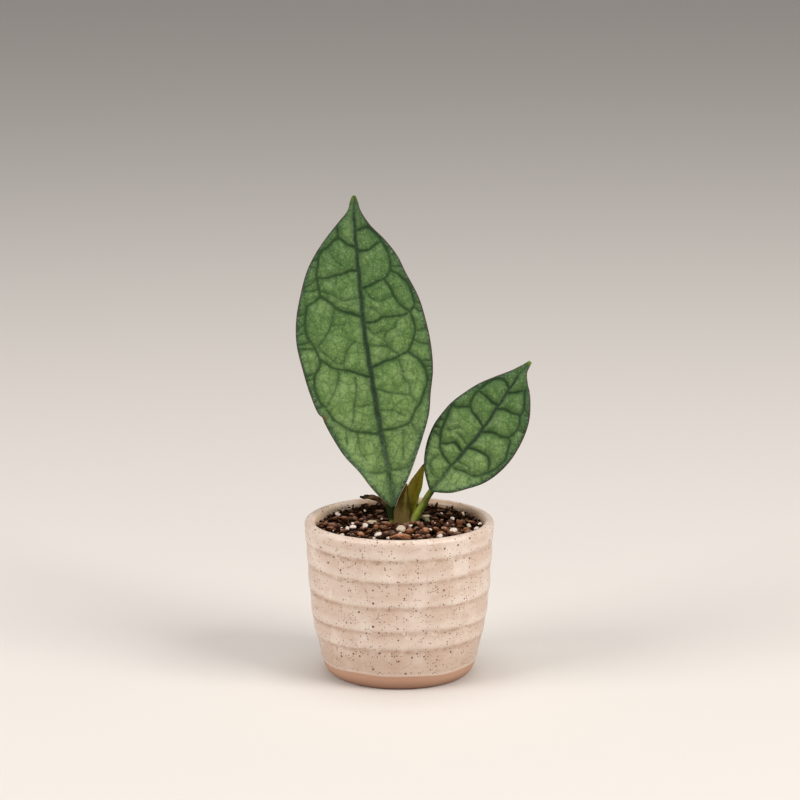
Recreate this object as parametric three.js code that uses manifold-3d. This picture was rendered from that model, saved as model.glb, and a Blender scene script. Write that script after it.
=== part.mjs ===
// Potted hoya: a young plant with two net-veined leaves in a hand-thrown stoneware pot.
// Units are millimetres and +Z is up. The origin is the centre of the pot's base, on the
// surface that the pot stands on. The plant is seen from the -Y side, with +X to the right.

import * as THREE from 'three';
import { mergeVertices } from 'three/addons/utils/BufferGeometryUtils.js';
import Module from 'manifold-3d';

const wasm = await Module();
wasm.setup();

// ---------------------------------------------------------------- driving dimensions

const TAU = Math.PI * 2;
const FIT_GAP = 0.35; // clearance between pieces that touch
const SHORTEST_EDGE = 0.01; // slivers below this size are cleaned away after a cut

// Pot
const POT_SEGMENTS = 44;
const POT_HEIGHT = 74.5;
const RIM_RADIUS = 44.8;
const LIP_RADIUS = 2.4; // the lip is a full round, twice this thick
const LIP_STEPS = 6;
const MOUTH_RADIUS = RIM_RADIUS - 2 * LIP_RADIUS;
const FLOOR_HEIGHT = 6.0;
const RING_RELIEF = 0.5; // how far each throwing ring stands out
const RING_RISE = 5.0; // a ring swells slowly above its crest
const RING_DROP = 1.9; // and falls away quickly under it
const RING_CRESTS = [66.3, 55.9, 43.2, 31.0, 22.0];
// Height and radius of the thrown body without its rings, from the foot to the rim.
const POT_BODY = [
  [0.0, 31.2], [1.1, 33.3], [3.2, 35.0], [7.0, 36.4], [12.0, 37.9], [18.0, 39.3],
  [25.0, 40.6], [34.0, 41.9], [45.0, 43.0], [56.0, 43.7], [66.0, 44.2], [72.1, 44.8],
];
// Height and radius of the inside, up to the lip.
const POT_INSIDE = [
  [FLOOR_HEIGHT, 26.0], [9.5, 31.0], [16.0, 34.0], [30.0, 37.0], [50.0, 39.2],
];
const WALL_HEIGHTS = POT_INSIDE.map(([height]) => height);

// Potting mix
const WALL_CLEARANCE = 0.55;
const SOIL_EDGE = 68.6;
const SOIL_CROWN = 69.6; // the surface is a little higher round the plant
const CHIP_COUNT = 84;
const CHIP_FIELD_RADIUS = 35.3;
const CHIP_HALF_LENGTH = [3.1, 4.3];
const CHIP_FLATNESS = [0.5, 0.75];
const CHIP_SINK = 0.45; // share of a chip's half height that lies below the surface
const CHIP_TILT = 0.5;
const GOLDEN_ANGLE = Math.PI * (3 - Math.sqrt(5));

// Stem, buried in the mix: its crown carries every stalk
const CROWN_CENTRE = new THREE.Vector2(1.7, 8.6);
const CROWN_TOP = 66.0;
const STALK_FOOT = CROWN_TOP + FIT_GAP;
const STEM_SECTIONS = [[66.0, 6.3], [63.0, 5.9], [57.0, 3.8], [46.0, 3.1], [34.0, 2.5]];
const ROOT_COUNT = 4;
const ROOT_RADIUS = [1.3, 0.8];
const ROOT_REACH = 21.0;
const ROOT_START = 47.0;
const ROOT_STEP = 2.5;
const ROOT_FALL = 21.0;

// Leaves
const BLADE_THICKNESS = 1.0;
const GROOVE_DEPTH = 0.32; // the net is sunk into the upper face
const RIB_HEIGHT = 0.6; // and stands out of the lower face
const MIDRIB_SCALE = 1.6; // the midrib is that much bolder
const RIB_STEP = 9.0; // longest straight stretch of a vein

// Vein and outline points are [along, across] on the leaf, from its base towards its tip.
const LARGE_LEAF = {
  base: new THREE.Vector3(-2.5, 1.0, 79.6),
  tip: new THREE.Vector3(-21.2, 23.9, 224.1),
  leanBack: 9,
  turn: 0,
  arch: 5.0,
  baseCurl: 2.6,
  curl: 1.2,
  rows: 26,
  columns: 8,
  left: [
    [0, -1.2], [5.5, -6], [11.5, -10], [18.5, -14], [27, -20], [36.5, -24.5], [48.5, -30],
    [59, -32.5], [70, -34.3], [82, -35.5], [93, -34.3], [104, -31], [115, -26.5],
    [122, -22], [128.5, -16.5], [135.5, -9.5], [141, -3.6], [147.6, -0.6],
  ],
  right: [
    [0, 1.0], [4.5, 3.2], [9.5, 6.5], [15.5, 10], [22.5, 13.5], [31, 17.5], [42, 22],
    [51.5, 24], [62, 26.4], [74, 27], [86, 26], [97, 24], [109, 19.5], [117, 16.7],
    [125, 12], [133.5, 5.5], [141, 1.3], [147.6, 0.4],
  ],
  midrib: [
    [0, 0], [11.5, 0], [28, -1], [43.5, -2], [61.5, -2.5], [83.5, -3.2], [104, -2.6],
    [123.5, -2], [140, -1], [146, -0.2],
  ],
  midribHalfWidth: 1.1,
  lateralHalfWidth: 0.75,
  crossHalfWidth: 0.55,
  laterals: [
    // right of the midrib, from the base to the tip
    [[18, -0.5], [17.5, 5], [18, 9.5]],
    [[36.5, -1.5], [37, 4], [37.5, 9], [39.5, 12.5], [45.5, 16.5], [47.5, 18.5]],
    [[67, -2.5], [68.5, 3.5], [70, 10], [72.5, 16], [80.5, 20], [90.5, 19]],
    [[88, -3], [88, 3.5], [89.5, 6], [89, 14], [90.5, 19]],
    [[104, -2.5], [105.5, 3.5], [107.5, 9], [110.5, 12.5]],
    [[121.5, -2], [121.5, 2.5], [124.5, 9.5]],
    // left of the midrib
    [[17, -0.5], [17, -5.5], [17.5, -9]],
    [[35.5, -1.5], [36.5, -9], [38, -13.5], [40.5, -18], [44.5, -22.5], [49.5, -25.5]],
    [[62, -2.5], [65, -9], [67, -15], [69.5, -21], [73.5, -25.5]],
    [[90.5, -3], [93, -8.5], [96, -14.5], [100, -18.5], [102.5, -21.5]],
    [[112.5, -2.5], [112.5, -7.5], [111.5, -13], [111, -17], [111.5, -22]],
    [[123.5, -2], [125.5, -6], [128.5, -10], [125.5, -15], [122.5, -19.5], [111.5, -22]],
  ],
  loops: [
    [[72.5, 16], [68.5, 19], [64, 22], [56, 22], [47.5, 18.5]],
    [[90.5, 19], [97, 21.5], [102.5, 20], [107, 17.5], [110.5, 12.5]],
    [[111.5, -22], [102.5, -21.5], [98.5, -28.5], [87, -30.5], [78, -27], [73.5, -25.5]],
    [[73.5, -25.5], [66, -29], [58.5, -29.5], [49.5, -25.5]],
  ],
  crossVeins: [
    [[131.5, -1.5], [132, 4.5], [128, 8.5], [116.5, 13], [110.5, 12.5]],
    [[107, 9], [101.5, 12], [94, 15.5], [90.5, 19]],
    [[69, 11], [59.5, 12.5], [52, 14], [47.5, 18.5]],
    [[56.5, -2.5], [54.5, 3.5], [51.5, 13.5]],
    [[46.5, -2], [45, 6], [42.5, 10.5], [39, 13]],
    [[39.5, 12.5], [34.5, 15], [32.5, 16.5], [26, 13.5], [18, 9.5]],
    [[37.5, 8.5], [28, 8], [18, 6]],
    [[124.5, -15], [119.5, -13], [111.5, -8]],
    [[95.5, -15], [84.5, -21], [79.5, -26]],
    [[79.5, -3], [76, -12.5], [67, -15]],
    [[68, -17.5], [61, -19], [51.5, -24.5]],
    [[65.5, -9.5], [55, -11], [49, -12.5], [38.5, -16]],
    [[49.5, -12], [49, -2.5]],
    [[37, -12.5], [29.5, -12.5], [20, -8]],
    [[40.5, -20], [32.5, -21], [26, -17.5], [17, -8]],
  ],
};

const SMALL_LEAF = {
  base: new THREE.Vector3(14.9, 4.0, 86.8),
  tip: new THREE.Vector3(61.8, 5.2, 148.6),
  leanBack: 10,
  turn: 12,
  arch: 3.0,
  baseCurl: 1.6,
  curl: 0.8,
  rows: 16,
  columns: 6,
  left: [
    [0, -1.3], [3, -5], [7, -9], [13, -13], [19.5, -16], [26.5, -17.8], [33, -18],
    [39.5, -17.5], [47, -15.5], [54.5, -12.8], [61.5, -9], [68.5, -4.8], [73.5, -2.4],
    [77.6, -0.5],
  ],
  right: [
    [0, 1.2], [3, 5.5], [6, 9], [12, 13.5], [19, 18], [26.5, 20.5], [34.5, 21.5],
    [41.5, 21], [48.5, 19.5], [55, 17], [60.5, 13.5], [65.5, 9.2], [69, 5], [72.5, 1.9],
    [77.6, 0.4],
  ],
  midrib: [
    [0, 0], [10.5, 0.5], [22, 1.2], [34.5, 2], [47, 1.4], [56, 0.5], [63, 0], [69.5, -0.6],
    [76.5, -0.2],
  ],
  midribHalfWidth: 0.9,
  lateralHalfWidth: 0.65,
  crossHalfWidth: 0.5,
  laterals: [
    [[61.5, 0], [63, -5.5], [61, -8], [56.5, -10], [52, -10.5]],
    [[52, 0.8], [51.5, -5], [52, -10.5]],
    [[39.5, 1.8], [41.5, -4.5], [43, -8.5], [45.5, -10.5], [52, -10.5]],
    [[43.5, -9], [39.5, -15.5], [29, -14], [20.5, -10], [16, -1.5], [15.5, 1]],
    [[24.5, 1.3], [25, -5], [20.5, -10]],
    [[38, 2], [40.5, 7], [43, 13.5], [38.5, 17.5], [29, 18.5], [20, 13.5], [17, 6], [15.5, 1]],
  ],
  loops: [
    [[50.5, 1.2], [53, 5.5], [54.5, 12], [46.5, 15], [43, 13.5]],
  ],
  crossVeins: [
    [[27.5, -13.2], [29.5, -9.5], [29, 1.5]],
    [[28, 1.5], [29.5, 7], [30, 11], [25, 16.5]],
    [[19.5, 1], [20, 8], [18, 10.5], [14, 12]],
    [[59.5, 0.3], [62, 3.5], [61.5, 9], [54.5, 12]],
    [[17, -7], [12, -8.5], [7, -6], [6, 0]],
  ],
};

// Stalks: where each stands on the crown, points that its centre line rises through, then
// half sizes at even steps along it.
const LARGE_PETIOLE = {
  foot: [-1.9, 9.8],
  rise: [[-2.4, 9.6, 71.5], [-4.3, 8.3, 78.2], [-4.7, 5.7, 84.0]],
  bladeEnd: [[13, -1.1], [24, -0.8]], // [along the leaf, height off the blade's middle]
  halfSizes: [2.3, 2.15, 2.0, 1.9, 1.5, 0.7],
};
const SMALL_PETIOLE = {
  foot: [5.9, 8.3],
  rise: [[6.9, 7.9, 71.5], [10.7, 6.6, 78.4], [14.0, 5.9, 84.4]],
  bladeEnd: [[7, -0.9], [15, -0.6]],
  halfSizes: [1.75, 1.6, 1.5, 1.45, 1.2, 0.6],
};
// Young leaves are folded blades: a band bent to a channel, open at the back.
const SHORT_YOUNG_LEAF = {
  foot: [1.0, 6.2],
  rise: [[1.0, 5.8, 72.0], [1.5, 6.2, 79.5], [3.4, 8.2, 89.2]],
  halfWidths: [2.9, 3.5, 3.5, 3.1, 2.0, 0.4],
  sag: [2.4, 2.6, 2.4, 2.0, 1.2, 0.3],
  wide: [1, 0, 0],
};
const TALL_YOUNG_LEAF = {
  foot: [3.8, 12.2],
  rise: [[4.2, 12.3, 72.0], [6.4, 12.5, 82.5], [11.8, 12.4, 97.6]],
  halfWidths: [2.4, 2.7, 3.0, 3.1, 2.0, 0.4],
  sag: [2.0, 2.2, 2.2, 2.0, 1.2, 0.3],
  wide: [1, 0, -0.3],
};
const DRY_LEAF = {
  foot: [-2.4, 13.4],
  rise: [
    [-2.9, 13.8, 71.5], [-5.2, 15.2, 76.6], [-9.2, 18.0, 78.8], [-14.0, 21.2, 79.4],
    [-18.6, 23.6, 78.8],
  ],
  halfWidths: [1.0, 1.1, 1.5, 1.7, 1.2, 0.3],
  sag: [0.4, 0.5, 0.8, 0.9, 0.5, 0.1],
  wide: [0.45, -0.35, 1],
};
const FOOT_STRAIGHT = 1.5; // a stalk leaves the crown upright
const HOLE_CLEARANCE = 0.45;
const HOLE_SINK = 1.0; // its hole reaches this far into the crown's own hole
const YOUNG_THICKNESS = 0.9;
const BAND_STEPS = 6;
const STALK_SIDES = 8;
const STALK_RINGS = 11;

// ---------------------------------------------------------------- materials

const clay = new THREE.MeshStandardMaterial({ color: 0xd9c6b2, roughness: 0.45, metalness: 0 });
const bark = new THREE.MeshStandardMaterial({ color: 0x4a3026, roughness: 0.95, metalness: 0 });
const stemSkin = new THREE.MeshStandardMaterial({ color: 0x6f7a45, roughness: 0.7, metalness: 0 });
const leafSkin = new THREE.MeshStandardMaterial({ color: 0x4f8a4d, roughness: 0.45, metalness: 0 });
const bronze = new THREE.MeshStandardMaterial({ color: 0x5f4f22, roughness: 0.5, metalness: 0 });
const driedSkin = new THREE.MeshStandardMaterial({ color: 0x4b3524, roughness: 0.9, metalness: 0 });

// ---------------------------------------------------------------- small helpers

// A repeatable stream of numbers from 0 to 1.
function makeDraw(seed) {
  let state = seed;
  return () => {
    state = (state * 48271) % 2147483647;
    return state / 2147483647;
  };
}

function mix(from, to, share) {
  return from + (to - from) * share;
}

// Value of a list of even steps at t from 0 to 1.
function along(list, t) {
  const place = Math.min(Math.max(t, 0), 1) * (list.length - 1);
  const index = Math.min(Math.floor(place), list.length - 2);
  return mix(list[index], list[index + 1], place - index);
}

// A smooth curve through [x, y] points, read as y at a given x.
function smoothProfile(points) {
  const curve = new THREE.CatmullRomCurve3(points.map(([x, y]) => new THREE.Vector3(x, y, 0)));
  const samples = curve.getPoints(points.length * 8);
  return (x) => {
    const after = samples.findIndex((sample) => sample.x >= x);
    if (after <= 0) {
      return after === 0 ? samples[0].y : samples[samples.length - 1].y;
    }
    const low = samples[after - 1];
    const high = samples[after];
    return mix(low.y, high.y, (x - low.x) / (high.x - low.x));
  };
}

function vectors(points) {
  return points.map((point) => new THREE.Vector3(...point));
}

// Centre line of a stalk: straight up from the crown, then through its own points.
function centreLine({ foot, rise }, sink = 0) {
  return vectors([[...foot, STALK_FOOT - sink], [...foot, STALK_FOOT + FOOT_STRAIGHT], ...rise]);
}

// ---------------------------------------------------------------- solids

function toSolid(geometry) {
  const bare = geometry.clone();
  bare.deleteAttribute('normal');
  bare.deleteAttribute('uv');
  const merged = mergeVertices(bare, 1e-4);
  return new wasm.Manifold(new wasm.Mesh({
    numProp: 3,
    vertProperties: new Float32Array(merged.attributes.position.array),
    triVerts: new Uint32Array(merged.index.array),
  }));
}

function toGeometry(solid) {
  const mesh = solid.simplify(SHORTEST_EDGE).getMesh();
  const geometry = new THREE.BufferGeometry();
  geometry.setAttribute('position', new THREE.BufferAttribute(mesh.vertProperties, 3));
  geometry.setIndex(new THREE.BufferAttribute(mesh.triVerts, 1));
  geometry.computeVertexNormals();
  return geometry;
}

// The largest body of a solid, without scraps that a cut left loose.
function largestBody(solid) {
  const bodies = solid.decompose();
  return bodies.reduce((best, body) => (body.volume() > best.volume() ? body : best));
}

// A closed solid through rings that all hold the same number of points.
function loft(rings) {
  const sides = rings[0].length;
  const positions = [];
  const faces = [];
  rings.flat().forEach((point) => positions.push(point.x, point.y, point.z));
  for (let ring = 0; ring < rings.length - 1; ring += 1) {
    for (let side = 0; side < sides; side += 1) {
      const next = (side + 1) % sides;
      const low = ring * sides;
      const high = low + sides;
      faces.push(low + side, low + next, high + next);
      faces.push(low + side, high + next, high + side);
    }
  }
  const capStart = (ring) => {
    const middle = new THREE.Vector3();
    ring.forEach((point) => middle.add(point));
    middle.divideScalar(sides);
    positions.push(middle.x, middle.y, middle.z);
    return positions.length / 3 - 1;
  };
  const first = capStart(rings[0]);
  const last = capStart(rings[rings.length - 1]);
  const top = (rings.length - 1) * sides;
  for (let side = 0; side < sides; side += 1) {
    const next = (side + 1) % sides;
    faces.push(first, next, side);
    faces.push(last, top + side, top + next);
  }
  const geometry = new THREE.BufferGeometry();
  geometry.setAttribute('position', new THREE.Float32BufferAttribute(positions, 3));
  geometry.setIndex(faces);
  return geometry;
}

// Even stations on a centre line, each with its width and depth directions.
function stations(points, wide, count) {
  const curve = new THREE.CatmullRomCurve3(points);
  const result = [];
  for (let step = 0; step < count; step += 1) {
    const t = step / (count - 1);
    const tangent = curve.getTangentAt(t);
    const width = wide.clone().addScaledVector(tangent, -wide.dot(tangent)).normalize();
    const depth = new THREE.Vector3().crossVectors(tangent, width);
    result.push({ t, centre: curve.getPointAt(t), width, depth });
  }
  return result;
}

function offset(station, width, depth) {
  return station.centre.clone()
    .addScaledVector(station.width, width)
    .addScaledVector(station.depth, depth);
}

// A round stalk that thins along its centre line.
function stalk(points, radii, grow = 0, sides = STALK_SIDES, count = STALK_RINGS) {
  const rings = stations(points, new THREE.Vector3(1, 0, 0.01), count).map((station) => {
    const radius = along(radii, station.t) + grow;
    return Array.from({ length: sides }, (unused, side) => {
      const angle = (side / sides) * TAU;
      return offset(station, radius * Math.cos(angle), radius * Math.sin(angle));
    });
  });
  return loft(rings);
}

// A folded blade: its section is a band bent to a channel.
function foldedBlade(form) {
  const { halfWidths, sag, wide } = form;
  const line = centreLine(form);
  const rings = stations(line, new THREE.Vector3(...wide), STALK_RINGS).map((station) => {
    const half = along(halfWidths, station.t);
    const bend = along(sag, station.t);
    const front = [];
    const back = [];
    for (let step = 0; step <= BAND_STEPS; step += 1) {
      const share = (step / BAND_STEPS) * 2 - 1;
      const depth = -bend * (1 - share * share);
      front.push(offset(station, half * share, depth));
      back.unshift(offset(station, half * share * 0.9, depth + YOUNG_THICKNESS));
    }
    return [...front, ...back];
  });
  return evenLoft(rings, BAND_STEPS + 1);
}

// The plain hole round the buried foot of a folded blade.
function foldedBladeHole(form) {
  const { halfWidths, sag, wide } = form;
  const line = centreLine(form, HOLE_SINK);
  const rings = stations(line, new THREE.Vector3(...wide), STALK_RINGS).map((station) => {
    const half = along(halfWidths, station.t) + HOLE_CLEARANCE;
    const front = -along(sag, station.t) - HOLE_CLEARANCE;
    const back = YOUNG_THICKNESS + HOLE_CLEARANCE;
    return [
      offset(station, -half, front * 0.4), offset(station, -half * 0.6, front),
      offset(station, half * 0.6, front), offset(station, half, front * 0.4),
      offset(station, half, back), offset(station, -half, back),
    ];
  });
  return loft(rings);
}

// ---------------------------------------------------------------- leaves

// Turns a leaf's own [along, across, height] into a point of the model.
function leafPlacer(leaf) {
  const lean = THREE.MathUtils.degToRad(leaf.leanBack);
  const turn = THREE.MathUtils.degToRad(leaf.turn);
  const face = new THREE.Vector3(
    -Math.sin(turn) * Math.cos(lean), -Math.cos(turn) * Math.cos(lean), Math.sin(lean),
  );
  const axis = leaf.tip.clone().sub(leaf.base);
  const length = axis.length();
  axis.normalize();
  const across = new THREE.Vector3().crossVectors(face, axis).negate().normalize();
  if (across.x < 0) {
    across.negate();
  }
  const left = smoothProfile(leaf.left);
  const right = smoothProfile(leaf.right);
  const midrib = smoothProfile(leaf.midrib);
  const form = (a, c) => {
    const t = Math.min(Math.max(a / length, 0), 1);
    const middle = midrib(a);
    const edge = c < middle ? middle - left(a) : right(a) - middle;
    const share = Math.min(Math.abs(c - middle) / edge, 1.1);
    const curl = leaf.curl + leaf.baseCurl * Math.exp(-(((t - 0.1) / 0.2) ** 2));
    return leaf.arch * Math.sin(Math.PI * t) + curl * share * share * Math.min(1, t * 12);
  };
  const place = (a, c, height) => leaf.base.clone()
    .addScaledVector(axis, a)
    .addScaledVector(across, c)
    .addScaledVector(face, form(a, c) + height);
  return { place, left, right, midrib, length };
}

// The blade: one grid for both faces, split alike, joined round the edge.
function bladeGeometry(leaf, { place, left, right, midrib, length }) {
  const rows = [];
  for (let row = 0; row <= leaf.rows; row += 1) {
    const ease = 0.5 - 0.5 * Math.cos((row / leaf.rows) * Math.PI);
    const a = length * mix(row / leaf.rows, ease, 0.6);
    const line = [];
    for (let column = -leaf.columns / 2; column <= leaf.columns / 2; column += 1) {
      const share = column / (leaf.columns / 2);
      const reach = share < 0 ? midrib(a) - left(a) : right(a) - midrib(a);
      line.push([a, midrib(a) + share * reach]);
    }
    rows.push(line);
  }
  const rings = rows.map((line) => [
    ...line.map(([a, c]) => place(a, c, BLADE_THICKNESS / 2)),
    ...[...line].reverse().map(([a, c]) => place(a, c, -BLADE_THICKNESS / 2)),
  ]);
  return evenLoft(rings, leaf.columns + 1);
}

// Like loft, but its two faces share their diagonals and its ends are flat strips.
function evenLoft(rings, perFace) {
  const positions = [];
  const faces = [];
  rings.flat().forEach((point) => positions.push(point.x, point.y, point.z));
  const count = perFace * 2;
  const front = (row, column) => row * count + column;
  const back = (row, column) => row * count + count - 1 - column;
  const quad = (a, b, c, d) => faces.push(a, b, c, a, c, d);
  for (let row = 0; row < rings.length - 1; row += 1) {
    for (let column = 0; column < perFace - 1; column += 1) {
      quad(
        front(row, column), front(row, column + 1), front(row + 1, column + 1),
        front(row + 1, column),
      );
      faces.push(back(row, column), back(row + 1, column + 1), back(row, column + 1));
      faces.push(back(row, column), back(row + 1, column), back(row + 1, column + 1));
    }
    const edge = perFace - 1;
    quad(front(row, edge), back(row, edge), back(row + 1, edge), front(row + 1, edge));
    quad(back(row, 0), front(row, 0), front(row + 1, 0), back(row + 1, 0));
  }
  const end = rings.length - 1;
  for (let column = 0; column < perFace - 1; column += 1) {
    quad(back(0, column), back(0, column + 1), front(0, column + 1), front(0, column));
    quad(front(end, column), front(end, column + 1), back(end, column + 1), back(end, column));
  }
  const geometry = new THREE.BufferGeometry();
  geometry.setAttribute('position', new THREE.Float32BufferAttribute(positions, 3));
  geometry.setIndex(faces);
  return geometry;
}

// A four-sided bar along a vein. Its wide corners lie at one height and its two sharp
// corners at others, all measured off the blade's middle.
function veinBar(place, route, halfWidth, sideHeight, outHeight, inHeight) {
  const flat = new THREE.CatmullRomCurve3(route.map(([a, c]) => new THREE.Vector3(a, c, 0)));
  const count = Math.max(2, Math.ceil(flat.getLength() / RIB_STEP) + 1);
  const rings = [];
  for (let step = 0; step < count; step += 1) {
    const t = step / (count - 1);
    const point = flat.getPointAt(t);
    const tangent = flat.getTangentAt(t);
    const side = new THREE.Vector2(-tangent.y, tangent.x).multiplyScalar(halfWidth);
    rings.push([
      place(point.x - side.x, point.y - side.y, sideHeight),
      place(point.x, point.y, inHeight),
      place(point.x + side.x, point.y + side.y, sideHeight),
      place(point.x, point.y, outHeight),
    ]);
  }
  return loft(rings);
}

// Whatever way round a closed form was wound, its volume as a solid is positive.
function outward(geometry) {
  const solid = toSolid(geometry);
  if (solid.volume() > 0) {
    return solid;
  }
  const turned = geometry.clone();
  turned.setIndex([...geometry.index.array].reverse());
  return toSolid(turned);
}

function leafSolid(leaf, petiole) {
  const placer = leafPlacer(leaf);
  const { place, midrib } = placer;
  const half = BLADE_THICKNESS / 2;
  const veins = [
    ...leaf.laterals.map((route) => ({ route, width: leaf.lateralHalfWidth })),
    { route: leaf.midrib, width: leaf.midribHalfWidth },
    ...leaf.loops.map((route) => ({ route, width: leaf.lateralHalfWidth })),
    ...leaf.crossVeins.map((route) => ({ route, width: leaf.crossHalfWidth })),
  ];
  const ribs = veins.slice(0, leaf.laterals.length + 1);
  let solid = outward(bladeGeometry(leaf, placer));
  ribs.forEach(({ route, width }) => {
    const height = RIB_HEIGHT * (route === leaf.midrib ? MIDRIB_SCALE : 1);
    const bar = veinBar(place, route, width, 0.15 - half, -half - height, 0.1);
    solid = solid.add(outward(bar));
  });
  const bladeEnd = petiole.bladeEnd.map(([a, height]) => place(a, midrib(a), height));
  const hole = stalk([...centreLine(petiole, HOLE_SINK), ...bladeEnd], petiole.halfSizes, HOLE_CLEARANCE);
  solid = solid.add(outward(stalk([...centreLine(petiole), ...bladeEnd], petiole.halfSizes)));
  veins.forEach(({ route, width }) => {
    const depth = GROOVE_DEPTH * (route === leaf.midrib ? MIDRIB_SCALE : 1);
    const groove = veinBar(place, route, width, half + 0.12, half + 0.9, half - depth);
    solid = solid.subtract(outward(groove));
  });
  return { solid: largestBody(solid), hole: outward(hole) };
}

// ---------------------------------------------------------------- pot and mix

const bodyRadius = smoothProfile(POT_BODY);

// Each throwing ring swells slowly down to its crest and drops away below it.
function ringSwell(height) {
  return RING_CRESTS.reduce((sum, crest) => {
    const distance = height - crest;
    const reach = distance > 0 ? RING_RISE : RING_DROP;
    return sum + RING_RELIEF * Math.exp(-((distance / reach) ** 2));
  }, 0);
}

function outerRadius(height) {
  return bodyRadius(height) + ringSwell(height) - RING_RELIEF * 0.5;
}

const innerRadius = smoothProfile([...POT_INSIDE, [POT_HEIGHT - LIP_RADIUS, MOUTH_RADIUS]]);

function potGeometry() {
  const lipCentre = new THREE.Vector2(RIM_RADIUS - LIP_RADIUS, POT_HEIGHT - LIP_RADIUS);
  const profile = [new THREE.Vector2(0, 0), new THREE.Vector2(POT_BODY[0][1], 0)];
  POT_BODY.slice(1, 4).forEach(([height, radius]) => {
    profile.push(new THREE.Vector2(radius, height));
  });
  const heights = [12.0, 17.0];
  [...RING_CRESTS].reverse().forEach((crest) => {
    heights.push(crest - 2.3, crest - 0.7, crest + 3.4);
  });
  heights.sort((low, high) => low - high);
  heights.forEach((height) => profile.push(new THREE.Vector2(outerRadius(height), height)));
  for (let step = 0; step <= LIP_STEPS; step += 1) {
    const angle = (step / LIP_STEPS) * Math.PI;
    profile.push(new THREE.Vector2(
      lipCentre.x + LIP_RADIUS * Math.cos(angle), lipCentre.y + LIP_RADIUS * Math.sin(angle),
    ));
  }
  [...WALL_HEIGHTS].reverse().forEach((height) => {
    profile.push(new THREE.Vector2(innerRadius(height), height));
  });
  profile.push(new THREE.Vector2(0, FLOOR_HEIGHT));
  return new THREE.LatheGeometry(profile, POT_SEGMENTS).rotateX(Math.PI / 2);
}

// The mix fills the pot, a fit gap inside its wall.
function mixBody() {
  const profile = [new THREE.Vector2(0, FLOOR_HEIGHT + FIT_GAP)];
  [...WALL_HEIGHTS, SOIL_EDGE].forEach((height, index) => {
    const lift = index === 0 ? FIT_GAP : 0;
    profile.push(new THREE.Vector2(innerRadius(height) - WALL_CLEARANCE, height + lift));
  });
  profile.push(new THREE.Vector2(20, mix(SOIL_EDGE, SOIL_CROWN, 0.7)));
  profile.push(new THREE.Vector2(0, SOIL_CROWN));
  return new THREE.LatheGeometry(profile, POT_SEGMENTS).rotateX(Math.PI / 2);
}

function surfaceHeight(radius) {
  const share = Math.min(radius / CHIP_FIELD_RADIUS, 1);
  return mix(SOIL_CROWN, SOIL_EDGE, share * share);
}

// Bark and pumice chips: one seeded spiral of angular grains, half sunk in the mix.
function chips() {
  const draw = makeDraw(20613);
  const grains = [];
  for (let index = 0; index < CHIP_COUNT; index += 1) {
    const radius = CHIP_FIELD_RADIUS * Math.sqrt((index + 0.5) / CHIP_COUNT);
    const angle = index * GOLDEN_ANGLE + (draw() - 0.5) * 0.3;
    const half = mix(...CHIP_HALF_LENGTH, draw());
    const flat = mix(...CHIP_FLATNESS, draw());
    const grain = new THREE.IcosahedronGeometry(1, 0);
    grain.scale(half, half * mix(0.6, 0.95, draw()), half * flat);
    grain.rotateX((draw() - 0.5) * CHIP_TILT);
    grain.rotateY((draw() - 0.5) * CHIP_TILT);
    grain.rotateZ(draw() * TAU);
    const lift = surfaceHeight(radius) + half * flat * (1 - 2 * CHIP_SINK);
    grain.translate(radius * Math.cos(angle), radius * Math.sin(angle), lift);
    grains.push(grain);
  }
  return grains;
}

function rootRoute(index) {
  const angle = (index / ROOT_COUNT) * TAU + 0.4;
  const start = ROOT_START - index * ROOT_STEP;
  const spot = (reach, fall) => new THREE.Vector3(
    CROWN_CENTRE.x + reach * Math.cos(angle + reach * 0.02),
    CROWN_CENTRE.y * (1 - reach / ROOT_REACH) + reach * Math.sin(angle + reach * 0.02),
    start - fall,
  );
  return [
    spot(0, 0), spot(ROOT_REACH * 0.4, ROOT_FALL * 0.2), spot(ROOT_REACH * 0.75, ROOT_FALL * 0.55),
    spot(ROOT_REACH, ROOT_FALL),
  ];
}

// The stem with its roots, or the hole for it when it is grown by a clearance.
function stemSolid(grow) {
  const points = STEM_SECTIONS.map(([height]) => {
    const extra = height === CROWN_TOP ? grow : 0;
    return new THREE.Vector3(CROWN_CENTRE.x, CROWN_CENTRE.y, height + extra);
  });
  const last = points[points.length - 1];
  last.z -= grow;
  const sections = points.map((point, index) => {
    const radius = STEM_SECTIONS[index][1] + grow;
    return Array.from({ length: 12 }, (unused, side) => {
      const angle = (side / 12) * TAU;
      return new THREE.Vector3(
        point.x + radius * Math.cos(angle), point.y + radius * Math.sin(angle), point.z,
      );
    });
  });
  let solid = outward(loft(sections));
  for (let index = 0; index < ROOT_COUNT; index += 1) {
    const route = rootRoute(index);
    if (grow > 0) {
      const end = route[route.length - 1];
      end.addScaledVector(end.clone().sub(route[route.length - 2]).normalize(), grow);
    }
    solid = solid.add(outward(stalk(route, ROOT_RADIUS, grow, 5, 6)));
  }
  return solid;
}

// ---------------------------------------------------------------- assembly

const largeLeaf = leafSolid(LARGE_LEAF, LARGE_PETIOLE);
const smallLeaf = leafSolid(SMALL_LEAF, SMALL_PETIOLE);

// Each stalk stands in a plain hole, straight down to the crown of the stem.
function mixSolid() {
  let solid = outward(mixBody());
  chips().forEach((grain) => {
    solid = solid.add(toSolid(grain));
  });
  const holes = [
    stemSolid(FIT_GAP),
    largeLeaf.hole,
    smallLeaf.hole,
    outward(foldedBladeHole(SHORT_YOUNG_LEAF)),
    outward(foldedBladeHole(TALL_YOUNG_LEAF)),
    outward(foldedBladeHole(DRY_LEAF)),
  ];
  holes.forEach((hole) => {
    solid = solid.subtract(hole);
  });
  return largestBody(solid);
}

const plant = new THREE.Group();

function addPiece(name, geometry, material) {
  const mesh = new THREE.Mesh(geometry, material);
  mesh.name = name;
  plant.add(mesh);
}

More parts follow.
